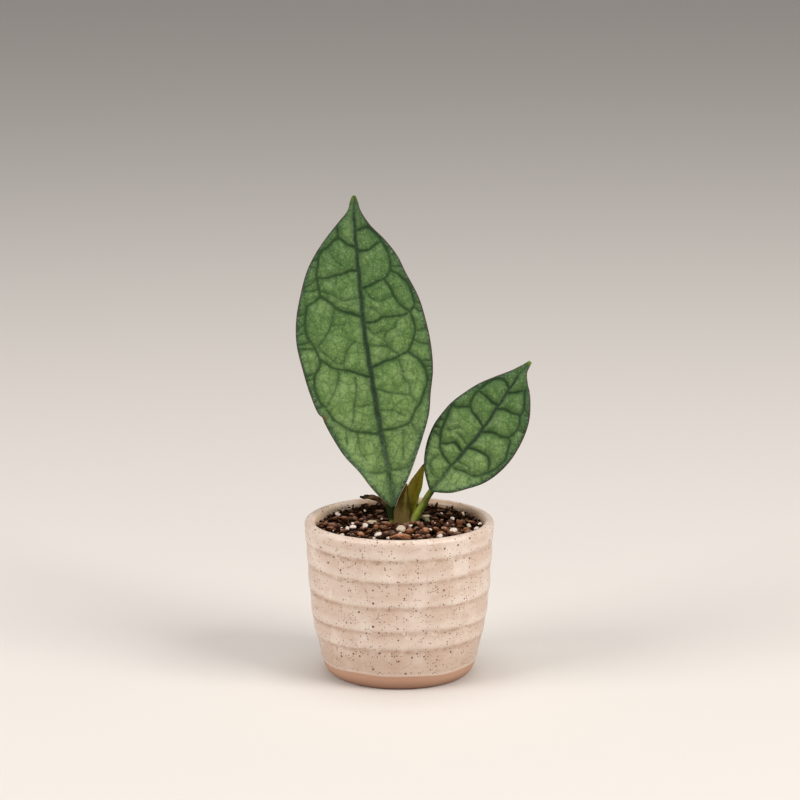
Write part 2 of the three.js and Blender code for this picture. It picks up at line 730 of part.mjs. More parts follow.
addPiece('pot', potGeometry(), clay);
addPiece('potting_mix', toGeometry(mixSolid()), bark);
addPiece('stem', toGeometry(stemSolid(0)), stemSkin);
addPiece('large_leaf', toGeometry(largeLeaf.solid), leafSkin);
addPiece('small_leaf', toGeometry(smallLeaf.solid), leafSkin);
addPiece('young_leaf_short', toGeometry(outward(foldedBlade(SHORT_YOUNG_LEAF))), bronze);
addPiece('young_leaf_tall', toGeometry(outward(foldedBlade(TALL_YOUNG_LEAF))), bronze);
addPiece('dry_leaf', toGeometry(outward(foldedBlade(DRY_LEAF))), driedSkin);

export default plant;
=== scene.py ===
"""Potted hoya: the looks of a young plant in a thrown stoneware pot.

Every length in this file is in millimetres unless its name says otherwise, in
the row frame: the pot's flat base on Z = 0, its axis on Z, the leaves facing -Y.
"""

import logging
import math
import random
from collections.abc import Callable, Sequence
from dataclasses import dataclass
from enum import Enum

import bmesh
import bpy
import numpy as np
from mathutils import Euler, Matrix, Vector


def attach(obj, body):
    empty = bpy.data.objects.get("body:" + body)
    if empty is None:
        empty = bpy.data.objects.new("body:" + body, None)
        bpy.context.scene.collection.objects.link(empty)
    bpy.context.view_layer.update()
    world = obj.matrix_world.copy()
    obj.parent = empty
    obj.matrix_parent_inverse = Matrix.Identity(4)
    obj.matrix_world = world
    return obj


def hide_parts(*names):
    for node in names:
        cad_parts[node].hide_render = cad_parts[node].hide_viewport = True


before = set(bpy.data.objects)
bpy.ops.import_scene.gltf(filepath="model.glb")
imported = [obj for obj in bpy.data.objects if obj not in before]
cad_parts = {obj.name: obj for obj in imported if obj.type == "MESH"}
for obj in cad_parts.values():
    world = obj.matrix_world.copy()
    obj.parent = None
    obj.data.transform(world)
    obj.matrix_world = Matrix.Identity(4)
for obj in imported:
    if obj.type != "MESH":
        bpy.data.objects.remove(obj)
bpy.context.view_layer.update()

MM = 0.001
MERGE_DISTANCE = 0.001 * MM
TAU = math.tau
Pair = tuple[float, float]
Triple = tuple[float, float, float]
Wave = tuple[float, float, float, float]
log = logging.getLogger("potted_hoya")


# ---------------------------------------------------------------- plain helpers


def linear(code: str) -> tuple[float, float, float, float]:
    """Turn an sRGB hex colour into linear light.

    Args:
        code: The colour as "#rrggbb".

    Returns:
        Linear red, green and blue, and an alpha of 1.
    """
    parts = [int(code[i : i + 2], 16) / 255 for i in (1, 3, 5)]
    light = [c / 12.92 if c <= 0.04045 else ((c + 0.055) / 1.055) ** 2.4 for c in parts]
    return (light[0], light[1], light[2], 1.0)


def smooth_route(points: Sequence[Sequence[float]], steps: int = 10) -> np.ndarray:
    """Pass a centripetal Catmull-Rom curve through some points.

    Args:
        points: The points, each with two or three numbers.
        steps: Samples for each span between two points.

    Returns:
        The sampled curve, one row for each sample.
    """
    given = np.asarray(points, float)
    ends = np.vstack([2 * given[0] - given[1], given, 2 * given[-1] - given[-2]])
    samples = []
    for i in range(len(given) - 1):
        a, b, c, d = ends[i : i + 4]
        t1 = max(np.linalg.norm(b - a), 1e-9) ** 0.5
        t2 = t1 + max(np.linalg.norm(c - b), 1e-9) ** 0.5
        t3 = t2 + max(np.linalg.norm(d - c), 1e-9) ** 0.5
        t = np.linspace(t1, t2, steps, endpoint=False)[:, None]
        ab = ((t1 - t) * a + t * b) / t1
        bc = ((t2 - t) * b + (t - t1) * c) / (t2 - t1)
        cd = ((t3 - t) * c + (t - t2) * d) / (t3 - t2)
        abc = ((t2 - t) * ab + t * bc) / t2
        bcd = ((t3 - t) * bc + (t - t1) * cd) / (t3 - t1)
        samples.append(((t2 - t) * abc + (t - t1) * bcd) / (t2 - t1))
    return np.vstack([*samples, given[-1:]])


def smooth_profile(points: Sequence[Pair]) -> Callable[[np.ndarray], np.ndarray]:
    """Make a smooth function of one number through the given pairs."""
    route = smooth_route(points)
    return lambda x: np.interp(x, route[:, 0], route[:, 1])


def reach_along(line: np.ndarray) -> np.ndarray:
    """Return how far along a sampled curve each of its points lies."""
    steps = np.linalg.norm(np.diff(line, axis=0), axis=1)
    return np.concatenate([[0], np.cumsum(steps)])


def between(span: Pair, share: float) -> float:
    """Return the number at a share of the way through a span."""
    return span[0] + (span[1] - span[0]) * share


def part_way(share: float, values: Sequence[float]) -> float:
    """Read a row of values, evenly spaced from 0 to 1, at a share of the way."""
    return float(np.interp(share, np.linspace(0, 1, len(values)), values))


def ease(value: np.ndarray, low: float, high: float) -> np.ndarray:
    """Rise smoothly from 0 at low to 1 at high."""
    share = np.clip((value - low) / (high - low), 0.0, 1.0)
    return share * share * (3 - 2 * share)


def even_stations(
    line: np.ndarray, wide: Sequence[float], count: int
) -> list[tuple[float, np.ndarray, np.ndarray, np.ndarray]]:
    """Walk a curve in even steps.

    Args:
        line: The sampled curve.
        wide: Roughly the direction of the section's width.
        count: How many stations to make.

    Returns:
        For each station its share of the length, its centre, and the directions
        of the section's width and depth.
    """
    reach, shares = reach_along(line), np.linspace(0, 1, count)
    centres = np.column_stack([np.interp(shares * reach[-1], reach, line[:, k]) for k in range(3)])
    tangents = np.gradient(centres, axis=0)
    tangents /= np.linalg.norm(tangents, axis=1)[:, None]
    stations = []
    for share, centre, tangent in zip(shares, centres, tangents):
        width = np.asarray(wide, float) - np.dot(wide, tangent) * tangent
        width /= np.linalg.norm(width)
        stations.append((float(share), centre, width, np.cross(tangent, width)))
    return stations


def active_mesh(name: str) -> bpy.types.Object:
    """Name the newest primitive and its mesh, and return it."""
    made = bpy.context.active_object
    made.name = name
    made.data.name = name
    return made


def set_vertices(piece: bpy.types.Object, places: np.ndarray) -> None:
    """Put each vertex of a piece at its place, given in millimetres."""
    piece.data.vertices.foreach_set("co", (places * MM).astype(np.float32).ravel())
    piece.data.update()


def get_vertices(piece: bpy.types.Object) -> np.ndarray:
    """Return the vertices of a piece in millimetres."""
    places = np.empty(len(piece.data.vertices) * 3, np.float32)
    piece.data.vertices.foreach_get("co", places)
    return places.reshape(-1, 3).astype(float) / MM


def store(piece: bpy.types.Object, **named: np.ndarray) -> None:
    """Keep named numbers, one for each vertex, for the piece's finish to read."""
    for name, values in named.items():
        made = piece.data.attributes.new(name, "FLOAT", "POINT")
        made.data.foreach_set("value", np.ascontiguousarray(values, dtype=np.float32).ravel())


def select_only(*pieces: bpy.types.Object) -> None:
    """Select these pieces and nothing else, and make the first one active."""
    bpy.ops.object.select_all(action="DESELECT")
    for piece in pieces:
        piece.select_set(True)
    bpy.context.view_layer.objects.active = pieces[0]


def apply_modifier(piece: bpy.types.Object, kind: str, **settings: object) -> None:
    """Add one modifier to a piece and apply it.

    Args:
        piece: The piece.
        kind: The modifier's type, such as BEVEL.
        **settings: Its settings by name.
    """
    select_only(piece)
    modifier = piece.modifiers.new(kind.title(), kind)
    for name, value in settings.items():
        setattr(modifier, name, value)
    bpy.ops.object.modifier_apply(modifier=modifier.name)


def join_pieces(*pieces: bpy.types.Object) -> bpy.types.Object:
    """Join pieces into the first one, and return it."""
    select_only(*pieces)
    bpy.ops.object.join()
    return pieces[0]


def close_shell(piece: bpy.types.Object) -> None:
    """Merge the doubles of a shell, fill its open ends and point its faces outwards."""
    select_only(piece)
    bpy.ops.object.mode_set(mode="EDIT")
    bpy.ops.mesh.select_all(action="SELECT")
    bpy.ops.mesh.remove_doubles(threshold=MERGE_DISTANCE)
    bpy.ops.mesh.fill_holes(sides=0)
    bpy.ops.mesh.select_all(action="SELECT")
    bpy.ops.mesh.normals_make_consistent(inside=False)
    bpy.ops.object.mode_set(mode="OBJECT")


def smooth_faces(piece: bpy.types.Object, degrees: float = 180.0) -> None:
    """Shade a piece smooth.

    Args:
        piece: The piece.
        degrees: Edges sharper than this stay crisp, and none do at 180.
    """
    select_only(piece)
    if degrees >= 180:
        bpy.ops.object.shade_smooth()
    else:
        bpy.ops.object.shade_smooth_by_angle(angle=math.radians(degrees))


def grid_piece(name: str, rows: int, columns: int) -> bpy.types.Object:
    """Add a grid whose vertices run row by row.

    Args:
        name: The piece's name.
        rows: Vertices along the piece.
        columns: Vertices across the piece.

    Returns:
        The grid, one unit wide, facing +Z.
    """
    bpy.ops.object.select_all(action="DESELECT")
    bpy.ops.mesh.primitive_grid_add(x_subdivisions=columns - 1, y_subdivisions=rows - 1, size=1)
    return active_mesh(name)


def turned_piece(name: str, profile: Sequence[Pair], steps: int) -> bpy.types.Object:
    """Turn a profile round the pot's axis, as on a wheel.

    Args:
        name: The piece's name.
        profile: Radius and height of each point, from axis to axis.
        steps: Steps of the full turn.

    Returns:
        The closed shell.
    """
    bpy.ops.object.select_all(action="DESELECT")
    bpy.ops.mesh.primitive_plane_add(size=MM, location=(0, 0, profile[0][1] * MM))
    bpy.ops.object.transform_apply(location=True, rotation=False, scale=False)
    made = active_mesh(name)
    bpy.ops.object.mode_set(mode="EDIT")
    bpy.ops.mesh.select_mode(type="VERT")
    bpy.ops.mesh.select_all(action="SELECT")
    bpy.ops.mesh.merge(type="CENTER")
    for (radius, height), (next_radius, next_height) in zip(profile, profile[1:]):
        step = ((next_radius - radius) * MM, 0, (next_height - height) * MM)
        bpy.ops.mesh.extrude_region_move(TRANSFORM_OT_translate={"value": step})
    bpy.ops.mesh.select_all(action="SELECT")
    bpy.ops.mesh.spin(steps=steps, angle=TAU, center=(0, 0, 0), axis=(0, 0, 1))
    bpy.ops.object.mode_set(mode="OBJECT")
    close_shell(made)
    return made


def stalk_piece(
    name: str, line: np.ndarray, radii: Sequence[float], sides: int = 20, count: int = 60
) -> bpy.types.Object:
    """Roll a grid into a round stalk along a curve, with closed ends.

    Args:
        name: The piece's name.
        line: The sampled centre line.
        radii: Radii in even steps along it.
        sides: Sides of the section.
        count: Sections along the curve.

    Returns:
        The stalk.
    """
    made = grid_piece(name, count, sides + 1)
    angles = np.linspace(0, TAU, sides + 1)
    rings = []
    for share, centre, width, depth in even_stations(line, (1, 0, 0.01), count):
        spokes = np.outer(np.cos(angles), width) + np.outer(np.sin(angles), depth)
        rings.append(centre + part_way(share, radii) * spokes)
    set_vertices(made, np.vstack(rings))
    close_shell(made)
    smooth_faces(made)
    return made


def dress(
    piece: bpy.types.Object, finish: "Finish", replaced: Sequence[str]
) -> None:
    """Give a finished piece its material and tie it to the frame.

    Args:
        piece: The finished piece, at the origin.
        finish: The finish that it wears, unless it already has one.
        replaced: The CAD nodes that it stands for.
    """
    if not piece.data.materials:
        piece.data.materials.append(finish.material())
    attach(piece, "root")
    if replaced:
        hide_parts(*replaced)
    triangles = sum(len(face.vertices) - 2 for face in piece.data.polygons)
    log.info("%s: %d triangles, stands for %s", piece.name, triangles, ", ".join(replaced) or "-")


# --------------------------------------------------------------------- finishes

Socket = bpy.types.NodeSocket
Feed = float | Sequence[float] | Socket


def add_node(
    tree: bpy.types.NodeTree,
    kind: str,
    feeds: dict[str | int, Feed] | None = None,
    **settings: object,
) -> bpy.types.Node:
    """Add one node with its settings and links.

    Args:
        tree: The material's node tree.
        kind: The node's type name, without the word that all of them start with.
        feeds: What goes into each input, a number, a colour or an output.
        **settings: The node's own properties.

    Returns:
        The node.
    """
    made = tree.nodes.new("ShaderNode" + kind)
    for name, value in settings.items():
        setattr(made, name, value)
    for socket, feed in (feeds or {}).items():
        if isinstance(feed, Socket):
            tree.links.new(feed, made.inputs[socket])
        else:
            made.inputs[socket].default_value = feed
    return made


@dataclass(frozen=True)
class Layer:
    """One colour laid over what lies under it.

    Attributes:
        colour: Its hex colour.
        source: What decides where it shows, an output or a number kept in the mesh.
        low: The source's value where none of it shows.
        high: The source's value where the most of it shows.
        most: How much of it shows there, from 0 to 1.
        within: A second source, from 0 to 1, that holds it back.
    """

    colour: str
    source: Socket | str
    low: float = 0.0
    high: float = 1.0
    most: float = 1.0
    within: Socket | str | None = None


def lay_colours(tree: bpy.types.NodeTree, ground: str, layers: Sequence[Layer]) -> Socket:
    """Lay colours over a ground, one after another.

    Args:
        tree: The material's node tree.
        ground: The hex colour of the ground.
        layers: The layers, from the lowest to the top one.

    Returns:
        The output that holds the finished colour.
    """
    colour: Feed = linear(ground)
    for layer in layers:
        sources = [layer.source, layer.within]
        for index, source in enumerate(sources):
            if isinstance(source, str):
                kept = add_node(tree, "Attribute", attribute_name=source)
                sources[index] = kept.outputs["Fac"]
        span = {"From Min": layer.low, "From Max": layer.high, "To Max": layer.most}
        share = add_node(tree, "MapRange", {"Value": sources[0], **span}).outputs[0]
        if sources[1] is not None:
            held = add_node(tree, "Math", {0: share, 1: sources[1]}, operation="MULTIPLY")
            share = held.outputs[0]
        feeds = {0: share, 6: colour, 7: linear(layer.colour)}
        colour = add_node(tree, "Mix", feeds, data_type="RGBA").outputs[2]
    return colour


def texture(
    tree: bpy.types.NodeTree,
    kind: str,
    size: float,
    output: str | int = 0,
    warp: float = 0.0,
    **settings: object,
) -> Socket:
    """Read a pattern on Object coordinates at a real size.

    Args:
        tree: The material's node tree.
        kind: The pattern, such as Noise or Voronoi.
        size: The size of its features in millimetres.
        output: The output to read.
        warp: How far a slow noise pulls the pattern about, in millimetres.
        **settings: Input values by name with _ for a space, or node properties.

    Returns:
        The pattern's output.
    """
    place = add_node(tree, "TexCoord").outputs["Object"]
    if warp:
        pull = {"Vector": place, "Scale": 0.5 / (size * MM)}
        noise = add_node(tree, "TexNoise", pull).outputs["Color"]
        stretch = {0: noise, 1: (warp * MM,) * 3, 2: place}
        place = add_node(tree, "VectorMath", stretch, operation="MULTIPLY_ADD").outputs[0]
    feeds: dict[str | int, Feed] = {"Vector": place, "Scale": 1 / (size * MM)}
    options = {}
    for name, value in settings.items():
        if name[0].isupper():
            feeds[name.replace("_", " ")] = value
        else:
            options[name] = value
    return add_node(tree, "Tex" + kind, feeds, **options).outputs[output]


@dataclass(frozen=True)
class Finish:
    """What a surface is made of, and how that looks.

    Attributes:
        name: The material's name.
        roughness: How matt it is.
        relief: How high its bumps stand, in millimetres.
        ior: Its index of refraction.
        coat: How much clear coat lies on it.
        coat_roughness: How matt that coat is.
        gloss: How strong its plain reflections are, 0.5 being usual.
    """

    name: str
    roughness: float
    relief: float
    ior: float = 1.45
    coat: float = 0.0
    coat_roughness: float = 0.28
    gloss: float = 0.5

    def paint(self, tree: bpy.types.NodeTree) -> tuple[Socket, Feed, Socket]:
        """Add the nodes of the surface's patterns. Each kind of finish has its own.

        Args:
            tree: The material's node tree.

        Returns:
            The colour, the roughness and the bumps, the last from 0 to 1.
        """
        raise NotImplementedError

    def material(self) -> bpy.types.Material:
        """Make the material, or return it where it is there already."""
        known = bpy.data.materials.get(self.name)
        if known:
            return known
        made = bpy.data.materials.new(self.name)
        made.use_nodes = True
        tree = made.node_tree
        tree.nodes.clear()
        colour, roughness, bumps = self.paint(tree)
        bump = add_node(tree, "Bump", {"Height": bumps, "Distance": self.relief * MM})
        feeds: dict[str | int, Feed] = {
            "Base Color": colour,
            "Roughness": roughness,
            "IOR": self.ior,
            "Coat Weight": self.coat,
            "Coat Roughness": self.coat_roughness,
            "Specular IOR Level": self.gloss,
            "Normal": bump.outputs[0],
        }
        surface = add_node(tree, "BsdfPrincipled", feeds)
        add_node(tree, "OutputMaterial", {"Surface": surface.outputs[0]})
        return made


@dataclass(frozen=True)
class SpeckledGlaze(Finish):
    """Cream satin glaze on iron-flecked stoneware, thrown, dipped and fired.

    It gives the eye a soft gloss, dark iron specks that bled through, thicker
    and darker glaze under each throwing ring with painted shade there, painted
    shade low on the wall and on the inner wall, painted light on the inner wall's
    left, and a bare clay foot with a painted shadow and a warm painted reflection below.
    """

    name: str = "speckled_stoneware"
    roughness: float = 0.4
    relief: float = 0.07
    ior: float = 1.5
    coat: float = 0.1
    glaze: str = "#c4ae9e"
    thin_glaze: str = "#e0d4c9"
    pooled_glaze: str = "#a5866f"
    blush: str = "#c4a492"
    speck: str = "#43220c"
    rust: str = "#93603f"
    clay: str = "#b08a72"
    painted_foot_shadow: str = "#70462a"
    # Painted shade on the inner wall, and painted light on its left side.
    inner: str = "#a5825f"
    painted_inner_light: str = "#f2d6bc"
    clay_roughness: float = 0.8

    def paint(self, tree: bpy.types.NodeTree) -> tuple[Socket, Feed, Socket]:
        """Paint the glaze, its iron and the bare foot, as Finish.paint says."""
        cloud = texture(tree, "Noise", 14.0, Detail=3.0)
        streak = texture(tree, "Noise", 5.0, Detail=4.0, Roughness=0.65)
        crowd = texture(tree, "Noise", 9.0, Detail=2.0)
        span = {"Value": crowd, "From Min": 0.34, "From Max": 0.52, "To Min": 0.25}
        crowd = add_node(tree, "MapRange", span).outputs[0]
        # Iron bleeds out in freckles, in specks of 0.3 to 0.8 mm and in a few spots.
        # Each row holds the spacing of one kind, and its reach as a share of that.
        iron = []
        for spacing, reach in ((0.72, 0.25), (1.12, 0.36), (3.0, 0.2)):
            distance = texture(tree, "Voronoi", spacing)
            lot = texture(tree, "Voronoi", spacing, "Color")
            chance = add_node(tree, "SeparateColor", {0: lot}).outputs[0]
            span = {"Value": chance, "From Min": 0.2, "To Max": reach}
            size = add_node(tree, "MapRange", span).outputs[0]
            inside = add_node(tree, "Math", {0: size, 1: distance}, operation="SUBTRACT")
            iron.append(inside.outputs[0])
        # Hair marks, drawn 0.25 mm wide so that they show.
        hair = texture(tree, "Voronoi", 8.0, warp=7.0, feature="DISTANCE_TO_EDGE")
        span = {"Value": texture(tree, "Noise", 4.0, Detail=1.0), "From Min": 0.55, "From Max": 0.6}
        broken = add_node(tree, "MapRange", span).outputs[0]
        colour = lay_colours(
            tree,
            self.glaze,
            (
                Layer(self.thin_glaze, cloud, 0.44, 0.66, 0.5),
                Layer(self.blush, streak, 0.52, 0.72, 0.4),
                Layer(self.thin_glaze, streak, 0.44, 0.3, 0.45),
                # Thicker glaze under each ring, with painted shade there.
                Layer(self.pooled_glaze, streak, 0.32, 0.6, 0.95, within="pool"),
                Layer(self.thin_glaze, "relief", 0.6, 1.0, 0.35),
                Layer(self.thin_glaze, "lip", 0.0, 1.0, 0.08),
                # Painted shade on the inner wall, and warm painted light on its left side.
                Layer(self.inner, "inside", 0.0, 1.0, 0.66),
                Layer(self.painted_inner_light, "inside", 0.0, -1.0, 0.95),
                # Painted shade: the outer wall darkens towards the foot.
                Layer(self.pooled_glaze, "over_line", 19.0, 0.0, 0.5),
                Layer(self.rust, iron[0], 0.0, 0.1, 0.4),
                Layer(self.rust, iron[2], -0.07, 0.02, 0.5, within=crowd),
                Layer(self.speck, hair, 0.016, 0.006, 0.4, within=broken),
                Layer(self.speck, iron[1], 0.0, 0.045, 0.92, within=crowd),
                Layer(self.speck, iron[2], 0.0, 0.03, 0.95),
                Layer(self.thin_glaze, "over_line", 1.7, 0.4, 0.4),
                Layer(self.clay, "over_line", 0.45, -0.45),
                # Painted shadow, with a warm painted reflection, darkens the bottom of the foot.
                Layer(self.painted_foot_shadow, "over_line", -2.0, -7.4, 0.6),
                Layer(self.rust, iron[1], 0.0, 0.1, 0.25, within=crowd),
            ),
        )
        span = {
            "Value": add_node(tree, "Attribute", attribute_name="over_line").outputs["Fac"],
            "From Min": -0.3, "From Max": 0.3,
            "To Min": self.clay_roughness, "To Max": self.roughness,
        }
        dry = add_node(tree, "MapRange", span).outputs[0]
        return colour, dry, texture(tree, "Noise", 2.2, Detail=3.0)


@dataclass(frozen=True)
class LeafSkin(Finish):
    """Waxy cuticle of a thick leaf, grown in a mosaic of cells and dark veins.

    It gives the eye a soft satin sheen, pale puffed cells, a dark net that is
    deepest at the midrib, silvery flecks, a thin dark red margin and a paler back.
    """

    name: str = "net_veined_leaf"
    roughness: float = 0.52
    relief: float = 0.22
    ior: float = 1.36
    gloss: float = 0.3
    cell: str = "#5a783c"
    cell_light: str = "#85a067"
    cell_deep: str = "#33512a"
    yellow: str = "#86964a"
    young: str = "#8aa664"
    old: str = "#3b5732"
    shade: str = "#284621"
    vein: str = "#122a0e"
    midrib: str = "#1a2c19"
    silver: str = "#62786a"
    margin: str = "#234632"
    margin_line: str = "#4a291e"
    pale_line: str = "#b39a74"
    tip: str = "#7c8434"
    fleck: str = "#a6bb95"
    scar: str = "#55452a"
    underside: str = "#7d9a62"

    def paint(self, tree: bpy.types.NodeTree) -> tuple[Socket, Feed, Socket]:
        """Paint the cells, the net and the margin, as Finish.paint says."""
        cloud = texture(tree, "Noise", 7.0, Detail=3.0)
        patch = texture(tree, "Noise", 3.2, Detail=3.0, Roughness=0.6)
        mottle = texture(tree, "Noise", 1.0, Detail=4.0, Roughness=0.75)
        # Veinlets branch off the net about every 5 mm, drawn faint, and the finest
        # ones close round areoles, drawn 1.3 mm wide so that they show.
        edges = {"feature": "DISTANCE_TO_EDGE"}
        thread = texture(tree, "Voronoi", 5.2, warp=4.4, **edges)
        areole = texture(tree, "Voronoi", 1.3, warp=0.9, **edges)
        # Silvery flecks under the wax, 0.4 to 0.6 mm across.
        spark = texture(tree, "Voronoi", 1.15)
        span = {"Value": patch, "From Min": 0.38, "From Max": 0.54}
        where = add_node(tree, "MapRange", span).outputs[0]
        colour = lay_colours(
            tree,
            self.cell,
            (
                Layer(self.cell_light, cloud, 0.44, 0.64, 0.55),
                # The blade is paler towards the base and darker towards the tip.
                Layer(self.old, "old", 0.0, 1.0, 0.55),
                Layer(self.young, "young", 0.0, 1.0, 0.78),
                Layer(self.yellow, patch, 0.55, 0.72, 0.2),
                Layer(self.cell_deep, patch, 0.44, 0.28, 0.5),
                Layer(self.cell_deep, mottle, 0.48, 0.32, 0.76),
                Layer(self.cell_light, mottle, 0.53, 0.68, 0.64),
                Layer(self.cell_deep, areole, 0.2, 0.0, 0.3, within=where),
                Layer(self.shade, thread, 0.18, 0.0, 0.42),
                Layer(self.shade, "shade"),
                Layer(self.margin, "margin", 0.0, 0.8),
                Layer(self.vein, areole, 0.16, 0.02, 0.75, within="margin"),
                Layer(self.silver, spark, 0.42, 0.16, 0.9, within="margin"),
                Layer(self.fleck, spark, 0.28, 0.06, 0.4, within=where),
                Layer(self.vein, "vein"),
                Layer(self.midrib, "rib", 0.0, 1.0, 0.8),
                Layer(self.silver, mottle, 0.47, 0.68, 0.7, within="silvery"),
                Layer(self.margin_line, "line"),
                Layer(self.pale_line, "pale_line"),
                Layer(self.tip, "tip"),
                Layer(self.scar, "scar"),
                Layer(self.underside, "under", 0.0, 1.0, 0.4),
            ),
        )
        low, high = self.roughness - 0.07, self.roughness + 0.07
        span = {"Value": mottle, "From Min": 0.3, "From Max": 0.7, "To Min": low, "To Max": high}
        return colour, add_node(tree, "MapRange", span).outputs[0], mottle


@dataclass(frozen=True)
class StalkSkin(Finish):
    """Smooth green bark of a leaf stalk, paler on the side that faces the light."""

    name: str = "leaf_stalk"
    roughness: float = 0.5
    relief: float = 0.15
    ior: float = 1.38
    flesh: str = "#5a6a1e"
    sunny: str = "#a0ac40"
    shaded: str = "#1e2f0e"
    tan: str = "#a09a68"
    soil: str = "#1b110a"

    def paint(self, tree: bpy.types.NodeTree) -> tuple[Socket, Feed, Socket]:
        """Paint the stalk, as Finish.paint says."""
        cloud = texture(tree, "Noise", 2.6, Detail=3.0)
        colour = lay_colours(
            tree,
            self.flesh,
            (
                Layer(self.sunny, "sunny"),
                Layer(self.shaded, "shaded"),
                Layer(self.shaded, cloud, 0.52, 0.75, 0.45),
                Layer(self.sunny, cloud, 0.42, 0.25, 0.4, within="sunny"),
                Layer(self.tan, "tan"),
                Layer(self.soil, "soiled"),
            ),
        )
        return colour, self.roughness, cloud


@dataclass(frozen=True)
class YoungSkin(Finish):
    """Soft new leaf, still bronze, with a waxy bloom and a greener margin."""

    name: str = "bronze_young_leaf"
    roughness: float = 0.55
    relief: float = 0.16
    ior: float = 1.36
    gloss: float = 0.15
    bronze: str = "#4a3b10"
    olive: str = "#a8942c"
    green: str = "#8aa02e"
    dark: str = "#241c08"
    tip: str = "#5f2f22"
    dusty: str = "#6c5c34"

    def paint(self, tree: bpy.types.NodeTree) -> tuple[Socket, Feed, Socket]:
        """Paint the young leaf, as Finish.paint says."""
        streak = texture(tree, "Noise", 1.8, Detail=4.0, Roughness=0.65)
        patch = texture(tree, "Noise", 6.0, Detail=2.0)
        colour = lay_colours(
            tree,
            self.bronze,
            (
                Layer(self.olive, "olive"),
                Layer(self.green, "green"),
                Layer(self.green, patch, 0.5, 0.65, 0.45, within="olive"),
                Layer(self.dark, streak, 0.5, 0.72, 0.5),
                Layer(self.olive, streak, 0.42, 0.25, 0.3),
                Layer(self.dark, "dark"),
                Layer(self.dusty, "dusty"),
                Layer(self.tip, "tip"),
            ),
        )
        return colour, self.roughness, streak


@dataclass(frozen=True)
class DrySkin(Finish):
    """Withered leaf: matt brown paper-like tissue with fine wrinkles."""

    name: str = "withered_leaf"
    roughness: float = 0.85
    relief: float = 0.5
    ior: float = 1.35
    gloss: float = 0.2
    brown: str = "#302114"
    pale: str = "#5f4830"
    dark: str = "#1c140a"

    def paint(self, tree: bpy.types.NodeTree) -> tuple[Socket, Feed, Socket]:
        """Paint the withered leaf, as Finish.paint says."""
        wrinkle = texture(tree, "Noise", 1.6, Detail=5.0, Roughness=0.7)
        cloud = texture(tree, "Noise", 5.0)
        colour = lay_colours(
            tree,
            self.brown,
            (
                Layer(self.pale, cloud, 0.44, 0.64, 0.75),
                Layer(self.dark, wrinkle, 0.5, 0.3, 0.8),
            ),
        )
        return colour, self.roughness, wrinkle


@dataclass(frozen=True)
class BarkSkin(Finish):
    """Aged pine bark, broken into chips: corky layers, with painted shade below.

    It gives the eye red-brown chips whose upper faces carry painted light, rosy and pale.
    """

    name: str = "pine_bark"
    roughness: float = 0.85
    relief: float = 0.5
    ior: float = 1.3
    gloss: float = 0.1
    dark: str = "#160a02"
    brown: str = "#3a1f0b"
    red: str = "#613518"
    rosy: str = "#a66f4e"
    amber: str = "#8a5630"
    grey: str = "#6a4c42"
    dried_and_lit: str = "#c99f87"

    def paint(self, tree: bpy.types.NodeTree) -> tuple[Socket, Feed, Socket]:
        """Paint the bark, as Finish.paint says."""
        grain = texture(tree, "Noise", 1.3, Detail=5.0, Roughness=0.7)
        patch = texture(tree, "Noise", 3.0, Detail=2.0)
        facing = add_node(tree, "NewGeometry").outputs["Normal"]
        upward = add_node(tree, "SeparateXYZ", {0: facing}).outputs[2]
        colour = lay_colours(
            tree,
            self.dark,
            (
                Layer(self.brown, "tone", 0.15, 0.5),
                Layer(self.red, "tone", 0.5, 0.85),
                Layer(self.rosy, "tone", 0.85, 1.0),
                Layer(self.red, patch, 0.55, 0.72, 0.5, within="tone"),
                Layer(self.amber, "hue", 0.7, 0.95, 0.7, within="tone"),
                Layer(self.grey, "hue", 0.4, 0.15, 0.7, within="tone"),
                # Painted light: the top of each grain is paler.
                Layer(self.dried_and_lit, "low", 0.3, 0.0, 0.7, within="tone"),
                # Painted shade on faces that turn away from above, and on the lower part of each
                # grain.
                Layer(self.dark, upward, 0.5, -0.15, 0.7),
                Layer(self.dark, "low", 0.28, 0.85, 0.94),
                Layer(self.dark, grain, 0.52, 0.34, 0.9),
                Layer(self.dried_and_lit, grain, 0.62, 0.78, 0.4, within="tone"),
            ),
        )
        return colour, self.roughness, grain


@dataclass(frozen=True)
class PeatSkin(Finish):
    """Damp peat and bark dust between the chips, nearly black."""

    name: str = "peat"
    roughness: float = 0.95
    relief: float = 1.0
    ior: float = 1.3
    gloss: float = 0.1
    black: str = "#140902"
    brown: str = "#3c230f"

    def paint(self, tree: bpy.types.NodeTree) -> tuple[Socket, Feed, Socket]:
        """Paint the peat, as Finish.paint says."""
        crumb = texture(tree, "Noise", 1.1, Detail=5.0, Roughness=0.75)
        colour = lay_colours(tree, self.black, (Layer(self.brown, crumb, 0.46, 0.66),))
        return colour, self.roughness, crumb


@dataclass(frozen=True)
class PumiceSkin(Finish):
    """Expanded mineral grain: white to cream, matt, full of tiny pores."""

    name: str = "pumice"
    roughness: float = 0.9
    relief: float = 0.35
    ior: float = 1.4
    white: str = "#d8cbbf"
    cream: str = "#b9a68a"
    pore_and_shade: str = "#83776a"
    moss: str = "#4f5c2c"

    def paint(self, tree: bpy.types.NodeTree) -> tuple[Socket, Feed, Socket]:
        """Paint the pumice, as Finish.paint says."""
        pores = texture(tree, "Voronoi", 0.8)
        facing = add_node(tree, "NewGeometry").outputs["Normal"]
        upward = add_node(tree, "SeparateXYZ", {0: facing}).outputs[2]
        colour = lay_colours(
            tree,
            self.white,
            (
                Layer(self.cream, "tone", 0.35, 0.9),
                Layer(self.moss, "tone", 0.96, 1.0, 0.75),
                Layer(self.pore_and_shade, pores, 0.22, 0.08, 0.6),
                # Painted shade on faces that turn down.
                Layer(self.pore_and_shade, upward, 0.0, -0.7, 0.7),
            ),
        )
        return colour, self.roughness, pores


